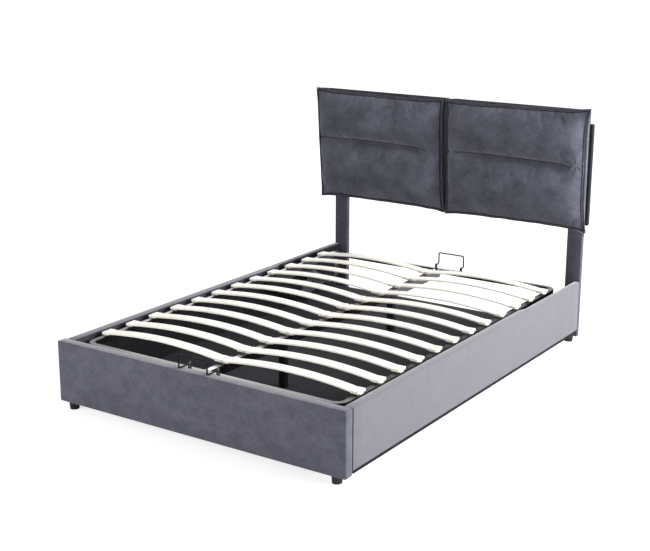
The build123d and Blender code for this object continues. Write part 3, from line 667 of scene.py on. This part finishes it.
@dataclass
class BackCushion:
    """One of the two box cushions of the headboard, sewn with a channel and piped seams.

    The front seam runs through four corners, given as X and Z. The front is blown up by a cloth
    simulation between its seam and the channel, where it is sewn down. A share across, u, runs
    from the left edge to the right one, and a share up, v, from the bottom to the top.

    Attributes:
        channel_span: Shares across between which the channel is sewn.
        channel_bow: Share across at which it bows up most, and by how much.
        draw_in: How far the left and right seam curve in at half height.
        fold_seed: Where the noise of the folds starts.
        width: Rough width of the face, for lengths on it.
        height: Rough height of the face.
        steps: Rings of faces from the front seam to the back.
        gusset: Depth from the back to the front seam.
        puff: How far the gusset stands out at half depth.
        back_draw: How far the back ends inside the box, on the outer and on the inner side.
        ear: How far the corners of the seam stand out.
        droop: How far the lower right corner of the back hangs down.
        channel_row: Row of the grid that is sewn down.
        channel_taper: Share across over which the channel runs out at its ends.
        groove_above: How far up, as a share, the channel draws the front in.
        groove_below: How far down, as a share, it does.
        pleat_scale: Fineness of the pleats along the seams, and pleat_depth their depth.
        pleat_reach: How far pleats run in from the side seams, from the upper and lower seam and
            from the channel.
        fold_depth: Depth of the broad folds of the whole front.
        wrinkle: Depth of the wrinkles that it has before it is blown up.
    """

    side: Side
    top_left: tuple[float, float]
    top_right: tuple[float, float]
    bottom_right: tuple[float, float]
    bottom_left: tuple[float, float]
    channel_span: tuple[float, float]
    channel_bow: tuple[float, float]
    draw_in: tuple[float, float]
    fold_seed: int
    width: float = 0.76
    height: float = 0.58
    columns: int = 84
    rows: int = 72
    steps: int = 6
    crown: float = 0.060
    gusset: float = 0.036
    puff: float = 0.004
    back_draw: tuple[float, float] = (0.030, 0.012)
    back_drop: float = 0.006
    sag: float = 0.004
    waver: float = 0.0024
    waver_scale: float = 14
    ear: float = 0.006
    ear_reach: float = 0.035
    droop: float = 0.0
    droop_reach: float = 0.045
    channel_row: int = 39
    channel_floor: float = 0.001
    channel_taper: float = 0.07
    groove_above: float = 0.034
    groove_below: float = 0.060
    pleat_scale: float = 52
    pleat_depth: float = 0.0034
    pleat_reach: Point = (0.050, 0.028, 0.032)
    fold_depth: float = 0.0035
    wrinkle: float = 0.0025
    seam_points: int = 48
    channel_points: int = 30

    def seam(self, u: float, v: float) -> tuple[float, float]:
        """Place on the face for a share across and a share up, as X and Z."""
        left = self.bottom_left[0] + (self.top_left[0] - self.bottom_left[0]) * v
        right = self.bottom_right[0] + (self.top_right[0] - self.bottom_right[0]) * v
        left += self.draw_in[0] * bulge(v, 4)
        right -= self.draw_in[1] * bulge(v, 4)
        top = self.top_left[1] + (self.top_right[1] - self.top_left[1]) * u
        bottom = self.bottom_left[1] + (self.bottom_right[1] - self.bottom_left[1]) * u
        top -= self.sag * bulge(u, 4)
        bottom += 2 * self.sag * bulge(u, 4)
        x, z = left + (right - left) * u, bottom + (top - bottom) * v
        spot = Vector((x * self.waver_scale, z * self.waver_scale, self.fold_seed))
        waver = noise.noise(spot) * self.waver
        return x + waver * (1 - bulge(u, 8)), z + waver * (1 - bulge(v, 8))

    def length_on_face(self, across: float, up: float) -> float:
        """Length of a step on the face, given as a share across and a share up."""
        return math.hypot(across * self.width, up * self.height)

    def place_on(self, u: float, v: float, depth: float) -> Vector:
        """Point on the cushion for a share across, a share up and a share from seam to back.

        Args:
            u: Share from the left edge to the right edge.
            v: Share from the bottom to the top.
            depth: Nothing at the front seam, one at the back.

        Returns:
            The point, in the frame.
        """
        low, high = self.low, self.high
        x, z = self.seam(u, v)
        outer, inner = self.back_draw
        first, last = (outer, inner) if self.side is Side.LEFT else (inner, outer)
        back_x = low.x + first + (high.x - low.x - first - last) * u
        back_z = low.z + (high.z - self.back_drop - low.z) * v
        ease = depth ** 0.8
        puff = self.puff * math.sin(math.pi * depth)
        corner = math.exp(-self.length_on_face(min(u, 1 - u), min(v, 1 - v)) / self.ear_reach)
        ear = self.ear * corner * (1 - depth)
        at = Vector((x + (back_x - x) * ease, high.y - self.gusset * (1 - depth),
                     z + (back_z - z) * ease))
        at.x += math.copysign(1, u - 0.5) * (ear + puff * (abs(2 * u - 1) > 0.999))
        at.z += math.copysign(1, v - 0.5) * (ear + puff * (abs(2 * v - 1) > 0.999))
        at.z -= self.droop * depth * math.exp(-self.length_on_face(1 - u, v) / self.droop_reach)
        return at

    def bend(self, u: float, v: float) -> float:
        """How far up a point of the front moves with the bow of the channel, as a share."""
        middle, bow = self.channel_bow
        return bow * (1 - ((u - middle) / 0.5) ** 2) / self.height * bulge(v, 2)

    def swell(self, u: float, v: float) -> float:
        """How far the front stands out from its seam, before it is blown up."""
        full = max(bulge(u, 2.6), 0) ** 0.68 * max(bulge(v, 3), 0) ** 0.6
        start, end = self.channel_span
        sewn = ramp(end - u, self.channel_taper)
        if start > 0:
            sewn *= ramp(u - start, self.channel_taper)
        off = v - self.channel_row / self.rows
        sewn *= math.exp(-abs(off) / (self.groove_above if off > 0 else self.groove_below))
        return full * (self.crown * (1 - sewn) + self.channel_floor * sewn)

    def build(self, velvet: bpy.types.Material, shaded: bpy.types.Material,
              welt: bpy.types.Material, seam_shade: bpy.types.Material) -> None:
        """Shapes the cushion, blows it up, pipes its seams and dresses it.

        Args:
            velvet: Velvet of the front.
            shaded: Near-black velvet on the top of the gusset: painted shade.
            welt: Darker velvet of the welt, between its two stitched seams, and of the front's
                faces along the seam: painted shade.
            seam_shade: Near-black velvet of the lines in the seams: painted shade of their grooves.
        """
        node = "headboard_cushion_" + self.side.word
        self.low, self.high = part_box(node)
        deselect()
        bpy.ops.mesh.primitive_grid_add(x_subdivisions=self.columns, y_subdivisions=self.rows,
                                        size=2)
        piece = named(bpy.context.active_object, node + "_velvet")
        with editing(piece, "EDGE"):
            bpy.ops.mesh.select_all(action="SELECT")
            bpy.ops.mesh.region_to_loop()
            for _ in range(self.steps):
                bpy.ops.mesh.extrude_edges_move(TRANSFORM_OT_translate={"value": (0, 0, -1)})
            bpy.ops.mesh.fill_grid(span=self.rows)
        sewn, on_seam = [], []
        start, end = self.channel_span
        share = self.channel_row / self.rows
        for vertex in piece.data.vertices:
            u, v, depth = (vertex.co.x + 1) / 2, (vertex.co.y + 1) / 2, -vertex.co.z / self.steps
            inside = depth < NEAR and 0.001 < u < 0.999 and 0.001 < v < 0.999
            on_channel = inside and abs(v - share) < 0.2 / self.rows and start <= u <= end
            sewn.append(0.0 if inside and not on_channel else 1.0)
            on_seam.append(depth < NEAR and not inside)
            at = self.place_on(u, v + self.bend(u, v) * inside, min(depth, 1))
            if inside:
                fold = noise.noise(Vector((u * 11, v * 7, self.fold_seed)))
                at.y += self.wrinkle * fold * (not on_channel) - self.swell(u, v)
            vertex.co = at
        with editing(piece):
            bpy.ops.mesh.select_all(action="SELECT")
            bpy.ops.mesh.normals_make_consistent(inside=False)
        dress(piece, velvet, shaded, welt)
        # The top of the gusset takes the near-black velvet and the front's faces along the seam the
        # darker welt velvet: painted shade
        for face in piece.data.polygons:
            if min(sewn[i] for i in face.vertices) > 0.5 and face.normal.z > 0.4:
                face.material_index = 1
            elif any(on_seam[i] for i in face.vertices) and face.normal.y < -0.2:
                face.material_index = 2
        blow_up(piece, sewn, pressure=5.0, growth=0.014, frames=20, cap=0.024)
        finish_with(piece, "SUBSURF", levels=1, render_levels=1)
        self.crease(piece)
        smooth(piece, 60)
        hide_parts(node)
        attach(piece, "frame")
        self.pipe(piece, welt, seam_shade)
        LOG.info("%s: %d faces", piece.name, len(piece.data.polygons))

    def crease(self, piece: bpy.types.Object) -> None:
        """Draws the blown up velvet into small folds along its seams and at the channel's ends."""
        wide, tall = self.high.x - self.low.x, self.high.z - self.low.z
        share, seed, fine = self.channel_row / self.rows, self.fold_seed, self.pleat_scale
        from_side, from_end, from_channel = self.pleat_reach
        start, end = self.channel_span
        for vertex in piece.data.vertices:
            at = vertex.co
            proud = self.high.y - self.gusset - at.y
            if proud < 0.001:
                continue
            u, v = (at.x - self.low.x) / wide, (at.z - self.low.z) / tall
            beside, above = min(u, 1 - u) * wide, min(v, 1 - v) * tall
            off = (v - share) * tall
            pleats = fading_noise((seed, at.z * fine, beside * 7), beside, from_side)
            pleats += fading_noise((at.x * fine, seed, above * 7), above, from_end)
            if start - 0.03 < u < end + 0.03:
                spot = (at.x * 44, off * 9, seed + 5)
                pleats += fading_noise(spot, abs(off), from_channel)
            lift = self.pleat_depth * pleats
            lift += self.fold_depth * noise.noise(Vector((at.x * 5, at.z * 8, seed + 9)))
            for tip in (start, end):
                if 0 < tip < 1:
                    # The channel's end gathers the velvet into a star of six small folds
                    reach = math.hypot((u - tip) * wide, off)
                    star = math.sin(math.atan2(off, (u - tip) * wide) * 6 + seed)
                    lift += self.pleat_depth * star * math.exp(-reach / 0.045) * ramp(reach, 0.02)
            at.y += lift * ramp(proud, 0.012)

    def pipe(self, piece: bpy.types.Object, welt: bpy.types.Material,
             seam_shade: bpy.types.Material) -> None:
        """Runs a welt round the front between two stitched seams, and sinks one in the channel. The
        seam lines are near-black, painted shade in the seams' grooves.

        Args:
            piece: Blown up cushion, whose surface the inner seam follows.
            welt: Darker velvet of the welt, painted shade along the seam.
            seam_shade: Near-black velvet of the seam lines, painted shade of the seams.
        """
        shares = [k / self.seam_points for k in range(self.seam_points)]
        rim = [(t, 0.0) for t in shares] + [(1.0, t) for t in shares]
        rim += [(1 - t, 1.0) for t in shares] + [(0.0, 1 - t) for t in shares]
        # Each line by its share from seam to back, its distance in from the seam and its radius
        for word, depth, inward, radius, finish in (
                ("welt", 0.0, 0.0, 0.0036, welt), ("stitch_inner", 0.0, 0.0075, 0.0022, seam_shade),
                ("stitch_outer", 0.11, 0.0, 0.0022, seam_shade),
                ("back_welt", 0.97, 0.0, 0.0034, seam_shade)):
            middle = self.place_on(0.5, 0.5, depth)
            points = []
            for u, v in rim:
                at = self.place_on(u, v, depth)
                if inward:
                    at.x += math.copysign(inward, middle.x - at.x) * (min(u, 1 - u) < 0.01)
                    at.z += math.copysign(inward, middle.z - at.z) * (min(v, 1 - v) < 0.01)
                    at.y -= 0.012
                    at = piece.closest_point_on_mesh(at)[1]
                points.append(at)
            self.lay_line(word, points, radius, finish, closed=True)
        start, end = self.channel_span
        share = self.channel_row / self.rows
        points = []
        for k in range(self.channel_points + 1):
            u = start + (end - start) * k / self.channel_points
            at = self.place_on(u, share + self.bend(u, share), 0.0)
            at.y -= self.swell(u, share) + 0.010
            points.append(piece.closest_point_on_mesh(at)[1])
        self.lay_line("channel_seam", points, 0.0017, seam_shade)

    def lay_line(self, word: str, points: Sequence[Vector], radius: float,
                 seam_shade: bpy.types.Material, closed: bool = False) -> None:
        """Lays one seam line along points, dresses it and lets it ride the frame."""
        line = tube_along(f"cushion_{word}_{self.side.word}", points, radius, closed)
        dress(line, seam_shade)
        smooth(line, 60)
        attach(line, "frame")


def row_step(row: int) -> float:
    """How far a row of slats lies along the bed from the first row, counted from one."""
    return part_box(f"slat_row_{row:02d}")[0].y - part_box("slat_row_01")[0].y


@dataclass
class SprungSlats:
    """The rows of bowed slats, one pair to a row, with eased edges."""

    rows: int = 12
    inner: float = 0.021
    thickness: float = 0.008
    crown: float = 0.022
    ease: float = 0.0012
    cuts: int = 36

    def build(self, finish: bpy.types.Material) -> None:
        """Bows one pair of slats and copies it to each row of the CAD frame.

        Args:
            finish: Foil of the slats.
        """
        low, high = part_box("slat_row_01")
        slats = []
        for sign in (-1, 1):
            near, far = sorted((sign * self.inner, sign * high.x))
            slat = block(f"slat_{sign}", (near, low.y, low.z),
                         (far, high.y, low.z + self.thickness))
            cut_across(slat, 0, parts_between(near, far, self.cuts))
            for vertex in slat.data.vertices:
                vertex.co.z += self.crown * bulge((vertex.co.x - near) / (far - near), 2)
            ease_edges(slat, self.ease, 60)
            slats.append(slat)
        first = named(joined(slats), "slat_pair_01")
        smooth(first, 30)
        dress(first, finish)
        for row in range(1, self.rows + 1):
            node, name = f"slat_row_{row:02d}", f"slat_pair_{row:02d}"
            pair = first if row == 1 else copy_of(first, name, (0, row_step(row), 0))
            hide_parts(node)
            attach(pair, "platform")
        LOG.info("slats: %d rows", self.rows)


@dataclass
class SlatHolders:
    """Moulded sleeves that carry the slats' ends on the side tubes and on the middle rail.

    Attributes:
        mouth_share: Depth of the mouth as a share of the sleeve's length.
        middle_span: Distances from the bed's middle at which the inner sleeves start and end.
        foot_start: Share of the sleeve's length at which its foot starts.
        foot_share: Width of the foot as a share of the slat's.
    """

    rows: int = 12
    wall: float = 0.0012
    sleeve_length: float = 0.036
    sleeve_low: float = 0.2925
    sleeve_high: float = 0.3038
    mouth_share: float = 0.3
    middle_span: tuple[float, float] = (0.036, 0.004)
    foot_low: float = 0.2860
    foot_start: float = 0.42
    foot_share: float = 0.45
    edge: float = 0.0011

    def sleeve(self, name: str, near: float, far: float) -> bpy.types.Object:
        """Moulds one sleeve with a mouth for the slat and a foot below it.

        Args:
            name: Name of the sleeve.
            near: X of the mouth.
            far: X of the closed end.

        Returns:
            The sleeve, on the first row of slats.
        """
        low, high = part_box("slat_row_01")
        wall, length = self.wall, far - near
        left, right = sorted((near, far))
        shell = block(name, (left, low.y - wall, self.sleeve_low),
                      (right, high.y + wall, self.sleeve_high))
        pick_faces(shell, lambda centre, normal: abs(centre.x - near) < NEAR)
        with editing(shell):
            bpy.ops.mesh.inset(thickness=wall, depth=0)
            bpy.ops.mesh.extrude_region_move(
                TRANSFORM_OT_translate={"value": (length * self.mouth_share, 0, 0)})
        middle, half = (low.y + high.y) / 2, (high.y - low.y) / 2 * self.foot_share
        left, right = sorted((near + length * self.foot_start, far))
        foot = block(name + "_foot", (left, middle - half, self.foot_low),
                     (right, middle + half, self.sleeve_low + wall))
        whole = joined([shell, foot])
        ease_edges(whole, self.edge, 50)
        return whole

    def build(self, finish: bpy.types.Material) -> None:
        """Moulds the sleeves of one row and copies them to the others.

        Args:
            finish: Plastic of the sleeves.
        """
        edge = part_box("slat_caps_side")[1].x
        spans = {"side": (edge - self.sleeve_length, edge), "middle": self.middle_span}
        groups = {word: [] for word in spans}
        for sign in (-1, 1):
            for word, (near, far) in spans.items():
                groups[word].append(self.sleeve(f"{word}_{sign}", sign * near, sign * far))
        for word, sleeves in groups.items():
            first = joined(sleeves)
            whole = joined([first] + [
                copy_of(first, f"{word}_holders_{row:02d}", (0, row_step(row), 0))
                for row in range(2, self.rows + 1)])
            named(whole, f"slat_holders_{word}")
            smooth(whole, 40)
            dress(whole, finish)
            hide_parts("slat_caps_" + word)
            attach(whole, "platform")
            LOG.info("%s: %d faces", whole.name, len(whole.data.polygons))


@dataclass
class MattressRetainer:
    """Bent wire hoop that keeps the mattress from sliding, at the foot or head of the platform."""

    node: str
    wire: float = 0.0036
    corner: float = 0.009

    def build(self, finish: bpy.types.Material) -> None:
        """Bends the hoop along the CAD hoop's box and dresses it.

        Args:
            finish: Powder coat of the hoop.
        """
        low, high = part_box(self.node)
        r = self.wire
        at_foot = low.y < 0
        upright_y, tube_y = (low.y + r, high.y - r) if at_foot else (high.y - r, low.y + r)
        left, right, top, bottom = low.x + r, high.x - r, high.z - r, low.z + r
        hoop = tube_along(self.node + "_hoop", [
            (left, tube_y, bottom), (left, upright_y, bottom), (left, upright_y, top),
            (right, upright_y, top), (right, upright_y, bottom), (right, tube_y, bottom)],
            r, corner=self.corner)
        dress(hoop, finish)
        smooth(hoop, 60)
        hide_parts(self.node)
        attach(hoop, "platform")
        LOG.info("%s bent", hoop.name)


@dataclass
class RetainerClips:
    """Narrow black saddles that hold the four ends of the retainers on the platform's end tubes.

    Attributes:
        wire_inset: From the side of a hoop's box to the middle of its wire.
        hold: From the hoop's end to the middle of its saddle.
        sunk: How far the saddle reaches into the tube's paint.
        height: Height of the saddle above the hoop's lowest point, without its cap.
        cap: Height of the smaller cap on top, and the width of the step round it.
    """

    width: float = 0.008
    length: float = 0.014
    wire_inset: float = 0.003
    hold: float = 0.010
    sunk: float = 0.001
    height: float = 0.0085
    cap: float = 0.0012
    edge: float = 0.0008

    def build(self, finish: bpy.types.Material) -> None:
        """Shapes one saddle at each end of the two hoops.

        Args:
            finish: Finish of the saddles.
        """
        clips = []
        half_width, half_length = self.width / 2, self.length / 2
        for end in ("foot", "head"):
            low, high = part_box("mattress_retainer_" + end)
            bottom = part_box("platform_tube_" + end)[1].z - self.sunk
            y = high.y - self.hold if low.y < 0 else low.y + self.hold
            for x in (low.x + self.wire_inset, high.x - self.wire_inset):
                clip = block(f"clip_{end}_{len(clips)}", (x - half_width, y - half_length, bottom),
                             (x + half_width, y + half_length, low.z + self.height))
                pick_faces(clip, lambda centre, normal: normal.z > 0.9)
                with editing(clip):
                    bpy.ops.mesh.inset(thickness=self.cap, depth=0)
                    bpy.ops.mesh.extrude_region_move(
                        TRANSFORM_OT_translate={"value": (0, 0, self.cap)})
                ease_edges(clip, self.edge, 30)
                clips.append(clip)
        whole = named(joined(clips), "retainer_clips")
        smooth(whole, 40)
        dress(whole, finish)
        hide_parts("retainer_clamps")
        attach(whole, "platform")
        LOG.info("retainer clips: %d", len(clips))


@dataclass
class RailCover:
    """Padded velvet cover of a side rail: thicker along its top, turned over inside, with a
    near-black strip below it that paints the shade under the rail.

    The thicker top ends before the links of the lift, which swing up beside the rail there.

    Attributes:
        roll: How far the thicker top stands inward.
        roll_height: Height of the thicker top.
        roll_end: Y at which the roll starts to taper, and roll_taper the length of that.
        tuck: How far the roll's tapered end lies inside the cover.
        front_gap: Gap to the footboard.
        core_room: Gap to the rail's board.
        turned_down: How far the velvet is turned down over the inner face.
        strip_overlap: How far that strip reaches up under the roll.
        end_inset: How far the strips end before the cover, at the foot and at the head.
        shade_strip_inset: How far under the rail the near-black strip starts, and shade_strip_proud
            how far it stands out.
        shade_strip_drop: How far that strip hangs below the cover.
    """

    side: Side
    roll: float = 0.0145
    roll_height: float = 0.044
    roll_end: float = 0.440
    roll_taper: float = 0.040
    tuck: float = 0.0015
    front_gap: float = 0.005
    core_room: float = 0.0006
    edge: float = 0.0055
    spacing: float = 0.08
    ripple: float = 0.0003
    ripple_scale: float = 5
    turned_down: float = 0.064
    cloth: float = 0.0012
    strip_overlap: float = 0.006
    end_inset: tuple[float, float] = (0.006, 0.001)
    shade_strip_inset: float = 0.004
    shade_strip_proud: float = 0.0006
    shade_strip_drop: float = 0.0010
    shade_strip_height: float = 0.012

    def build(self, velvet: bpy.types.Material, shaded: bpy.types.Material,
              shade_strip: bpy.types.Material) -> None:
        """Shapes the cover, its turned-over strip and the near-black strip below, and dresses all
        three.

        Args:
            velvet: Velvet of the outer face and top.
            shaded: Darker velvet of the inner face: painted shade.
            shade_strip: Black cloth of the strip under the rail: painted shade under its bottom
                edge.
        """
        node = "side_rail_cover_" + self.side.word
        low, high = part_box(node)
        sign = self.side.value
        face_x, outer_x = sorted((abs(low.x), abs(high.x)))
        inner_x = face_x + self.core_room
        near, far = sorted((sign * inner_x, sign * outer_x))
        cover = block(node + "_velvet", (near, low.y + self.front_gap, low.z),
                      (far, high.y, high.z))
        roll_low = high.z - self.roll_height
        end = self.roll_end + self.roll_taper
        cut_across(cover, 2, [roll_low])
        cut_across(cover, 1, [self.roll_end, end])
        pick_faces(cover, lambda centre, normal: normal.x * sign < -0.9 and centre.z > roll_low
                   and centre.y < end)
        with editing(cover):
            bpy.ops.mesh.extrude_region_move(
                TRANSFORM_OT_translate={"value": (-sign * self.roll, 0, 0)})
        for vertex in cover.data.vertices:
            if abs(vertex.co.x) < inner_x - 0.001 and abs(vertex.co.y - end) < 10 * NEAR:
                vertex.co.x = sign * (inner_x - self.tuck)
        ease_edges(cover, self.edge, 40, segments=4)
        count = int((high.y - low.y) / self.spacing)
        cut_across(cover, 1, parts_between(low.y, high.y, count))
        for vertex in cover.data.vertices:
            if abs(vertex.co.x) - outer_x > -0.002:
                ripple = noise.noise(vertex.co * self.ripple_scale) - 1
                vertex.co.x += sign * self.ripple * ripple
        # Faces turned inward take the darker velvet: painted shade inside the bed
        dress(cover, velvet, shaded)
        for face in cover.data.polygons:
            face.material_index = int(face.normal.x * sign < -0.35)
        smooth(cover, 50)
        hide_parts(node)
        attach(cover, "frame")
        # The strip turned over inside takes the darker velvet, and the near-black strip under the
        # rail paints the shade under its bottom edge
        inside = (face_x - self.cloth, face_x)
        below = (face_x + self.shade_strip_inset, outer_x + self.shade_strip_proud)
        for word, span, bottom, top, finish, slot in (
                ("turned_over", inside, high.z - self.turned_down, roll_low + self.strip_overlap,
                 shaded, "velvet"),
                ("shade_strip", below, low.z - self.shade_strip_drop, low.z + self.shade_strip_height, shade_strip, "floor_cloth")):
            left, right = sorted(sign * x for x in span)
            strip = block(f"rail_{word}_{self.side.word}",
                          (left, low.y + self.end_inset[0], bottom),
                          (right, high.y - self.end_inset[1], top))
            ease_edges(strip, self.cloth / 3, 30)
            smooth(strip, 40)
            dress(strip, finish)
            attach(strip, "frame")
        LOG.info("%s: %d faces", cover.name, len(cover.data.polygons))


def hang(name: str, data: bpy.types.ID, place: Point, turn: Quaternion) -> bpy.types.Object:
    """Sets a camera or lamp up in the scene.

    Args:
        name: Name of the object.
        data: Its camera or lamp data.
        place: Where it stands.
        turn: Which way it faces.

    Returns:
        The camera or lamp.
    """
    thing = bpy.data.objects.new(name, data)
    bpy.context.scene.collection.objects.link(thing)
    thing.rotation_mode = "QUATERNION"
    thing.location = place
    thing.rotation_quaternion = turn
    return thing


@dataclass
class Studio:
    """Plain pale floor, soft lamps and the camera at the photograph's angle.

    Each lamp is given by its name, its place, the point that it faces, its width and its watts.
    """

    camera_place: Point = (3.106, -4.742, 2.021)
    azimuth: float = 33.969
    pitch: float = 15.411
    roll: float = 0.115
    lens: float = 70.907
    lamps: tuple[tuple[str, Point, Point, float, float], ...] = (
        ("key_right", (5.2, 1.1, 2.2), (0, 0, 0.4), 2.6, 670),
        ("top", (0.5, 0.5, 4.5), (0, 0, 0), 3.5, 45),
        ("fill_left", (-1.4, -4.4, 1.4), (0, -1, 0.2), 2.2, 135),
        ("rear", (-3.6, 4.6, 1.9), (0, -0.4, 0.3), 3.0, 60),
    )

    def camera(self) -> None:
        """Sets the camera up."""
        data = bpy.data.cameras.new("camera")
        data.sensor_width = 36
        data.lens = self.lens
        a, e = math.radians(self.azimuth), math.radians(self.pitch)
        back = Vector((math.sin(a) * math.cos(e), -math.cos(a) * math.cos(e), math.sin(e)))
        turn = (-back).to_track_quat("-Z", "Y") @ Quaternion((0, 0, 1), math.radians(self.roll))
        bpy.context.scene.camera = hang("camera", data, self.camera_place, turn)

    def floor(self) -> None:
        """Lays a pale floor that shows white to the camera and keeps a soft shadow."""
        deselect()
        bpy.ops.mesh.primitive_plane_add(size=60, location=(0, 0, 0))
        floor = bpy.context.active_object
        floor.name = "studio_floor"
        material = bpy.data.materials.new("white_studio_floor")
        material.use_nodes = True
        material.node_tree.nodes.clear()
        plain = add_node(material, "ShaderNodeBsdfDiffuse", inputs={"Color": linear("d8d8da")})
        lit = add_node(material, "ShaderNodeBsdfDiffuse", inputs={"Color": (0.5, 0.5, 0.51, 1)})
        # The sweep behind the bed is lit evenly white, and the floor under it stays a little darker
        place = add_node(material, "ShaderNodeTexCoord")
        reach = add_node(material, "ShaderNodeVectorMath", {"operation": "LENGTH"},
                         links={0: place.outputs["Object"]})
        white = add_node(material, "ShaderNodeMapRange", inputs={
            "From Min": 1.5, "From Max": 4.5, "To Min": 0.72, "To Max": 0.96},
            links={"Value": reach.outputs["Value"]})
        glow = add_node(material, "ShaderNodeEmission", links={"Strength": white.outputs[0]})
        seen = add_node(material, "ShaderNodeAddShader",
                        links={0: lit.outputs[0], 1: glow.outputs[0]})
        path = add_node(material, "ShaderNodeLightPath")
        mixed = add_node(material, "ShaderNodeMixShader", links={
            "Fac": path.outputs["Is Camera Ray"], 1: plain.outputs[0], 2: seen.outputs[0]})
        add_node(material, "ShaderNodeOutputMaterial", links={"Surface": mixed.outputs[0]})
        floor.data.materials.append(material)

    def world(self) -> None:
        """Fills the room with soft white light that shows white to the camera, metal and glass."""
        world = bpy.data.worlds.new("white_studio")
        world.use_nodes = True
        world.node_tree.nodes.clear()
        path = add_node(world, "ShaderNodeLightPath")
        shown = path.outputs["Is Camera Ray"]
        for ray in ("Is Glossy Ray", "Is Transmission Ray"):
            shown = add_node(world, "ShaderNodeMath", {"operation": "MAXIMUM"},
                             links={0: shown, 1: path.outputs[ray]}).outputs[0]
        white = add_node(world, "ShaderNodeBackground",
                         inputs={"Color": (1, 1, 1, 1), "Strength": 1})
        soft = add_node(world, "ShaderNodeBackground",
                        inputs={"Color": (0.95, 0.97, 1, 1), "Strength": 0.22})
        mixed = add_node(world, "ShaderNodeMixShader",
                         links={"Fac": shown, 1: soft.outputs[0], 2: white.outputs[0]})
        add_node(world, "ShaderNodeOutputWorld", links={"Surface": mixed.outputs[0]})
        bpy.context.scene.world = world

    def build(self) -> None:
        """Sets up camera, floor, room light and lamps."""
        bpy.context.scene.view_settings.view_transform = "Standard"
        self.camera()
        self.floor()
        self.world()
        for name, place, aim, size, power in self.lamps:
            data = bpy.data.lights.new(name, "AREA")
            data.shape = "SQUARE"
            data.size = size
            data.energy = power
            hang(name, data, place, (Vector(aim) - Vector(place)).to_track_quat("-Z", "Y"))


# Finish of each CAD node that stays in view, by a word in its name. Others are powder coated black
NODE_FINISHES = (
    (LINING_AND_SHADE_CLOTH, ("core",)),
    (BOARD, ("floor_battens", "floor_beam")),
    (FLOOR_CLOTH, ("storage_floor",)),
    (BLACK_PLASTIC, ("feet", "glides")),
    (GOLD_ZINC, ("frame_bolts",)),
    (ZINC_STEEL, ("headboard_bolts", "brackets", "screws", "base_plate", "base_pins", "link_pins",
                  "arm_pins")),
    (WORN_POWDER_COAT, ("middle_rail",)),
    (BRIGHT_STEEL, ("spring_rod",)),
)


@dataclass
class StorageBed:
    """The whole bed: velvet frame, headboard, slatted platform and lift."""

    finishes: dict[str, bpy.types.Material] = field(default_factory=dict)

    def finish(self, kind: Velvet | Coated) -> bpy.types.Material:
        """Material of a finish, made the first time it is asked for."""
        if kind.name not in self.finishes:
            self.finishes[kind.name] = kind.build()
        return self.finishes[kind.name]

    def dress_nodes(self) -> None:
        """Gives every CAD node that stays in view its finish."""
        for name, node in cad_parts.items():
            kinds = (kind for kind, words in NODE_FINISHES if any(word in name for word in words))
            dress(node, self.finish(next(kinds, BLACK_POWDER_COAT)))

    def build(self) -> None:
        """Builds every piece in order."""
        self.dress_nodes()
        footboard = PaddedBoard("footboard_cover", 0.006, 0.002, low_step=(-0.008, -0.002, -0.008),
                                high_step=(0.002, 0, 0))
        footboard.build(self.finish(FRAME_VELVET))
        for side in Side:
            # The left rail and the posts take the darker copy of the velvet and the right rail the
            # lighter one: painted shade and painted light on one fabric
            outer = self.finish(SHADED_BACK_VELVET if side is Side.LEFT else LIT_RAIL_VELVET)
            RailCover(side).build(outer, self.finish(SHADED_VELVET), self.finish(LINING_AND_SHADE_CLOTH))
            post = PaddedBoard("headboard_post_" + side.word, 0.005, 0.001, lumps=0.0004)
            post.build(self.finish(SHADED_BACK_VELVET))
        # The headboard panel takes the near-black velvet: painted shade behind the cushions
        PaddedBoard("headboard_panel", 0.006, 0.001).build(self.finish(GUSSET_SHADE_VELVET))
        left_cushion = BackCushion(
            Side.LEFT, top_left=(-0.801, 1.156), top_right=(-0.036, 1.150),
            bottom_right=(-0.016, 0.580), bottom_left=(-0.768, 0.580), channel_span=(0.0, 0.90),
            channel_bow=(0.42, 0.010), draw_in=(-0.004, 0.004), fold_seed=3)
        right_cushion = BackCushion(
            Side.RIGHT, top_left=(-0.010, 1.152), top_right=(0.758, 1.163),
            bottom_right=(0.764, 0.578), bottom_left=(0.004, 0.575), channel_span=(0.07, 0.92),
            channel_bow=(0.2, 0.008), draw_in=(0.002, 0.009), fold_seed=8, droop=0.036)
        kinds = (CUSHION_VELVET, GUSSET_SHADE_VELVET, WELT_SHADE_VELVET, SEAM_SHADE_VELVET)
        for cushion in (left_cushion, right_cushion):
            cushion.build(*(self.finish(kind) for kind in kinds))
        SprungSlats().build(self.finish(SLAT_FOIL))
        SlatHolders().build(self.finish(WHITE_PLASTIC))
        for end in ("foot", "head"):
            MattressRetainer("mattress_retainer_" + end).build(self.finish(BLACK_WIRE))
        RetainerClips().build(self.finish(BLACK_PLASTIC))


def main() -> None:
    """Builds the studio and the bed."""
    logging.basicConfig(level=logging.INFO, format="%(name)s: %(message)s")
    Studio().build()
    StorageBed().build()
    deselect()


if __name__ == "__main__":
    main()
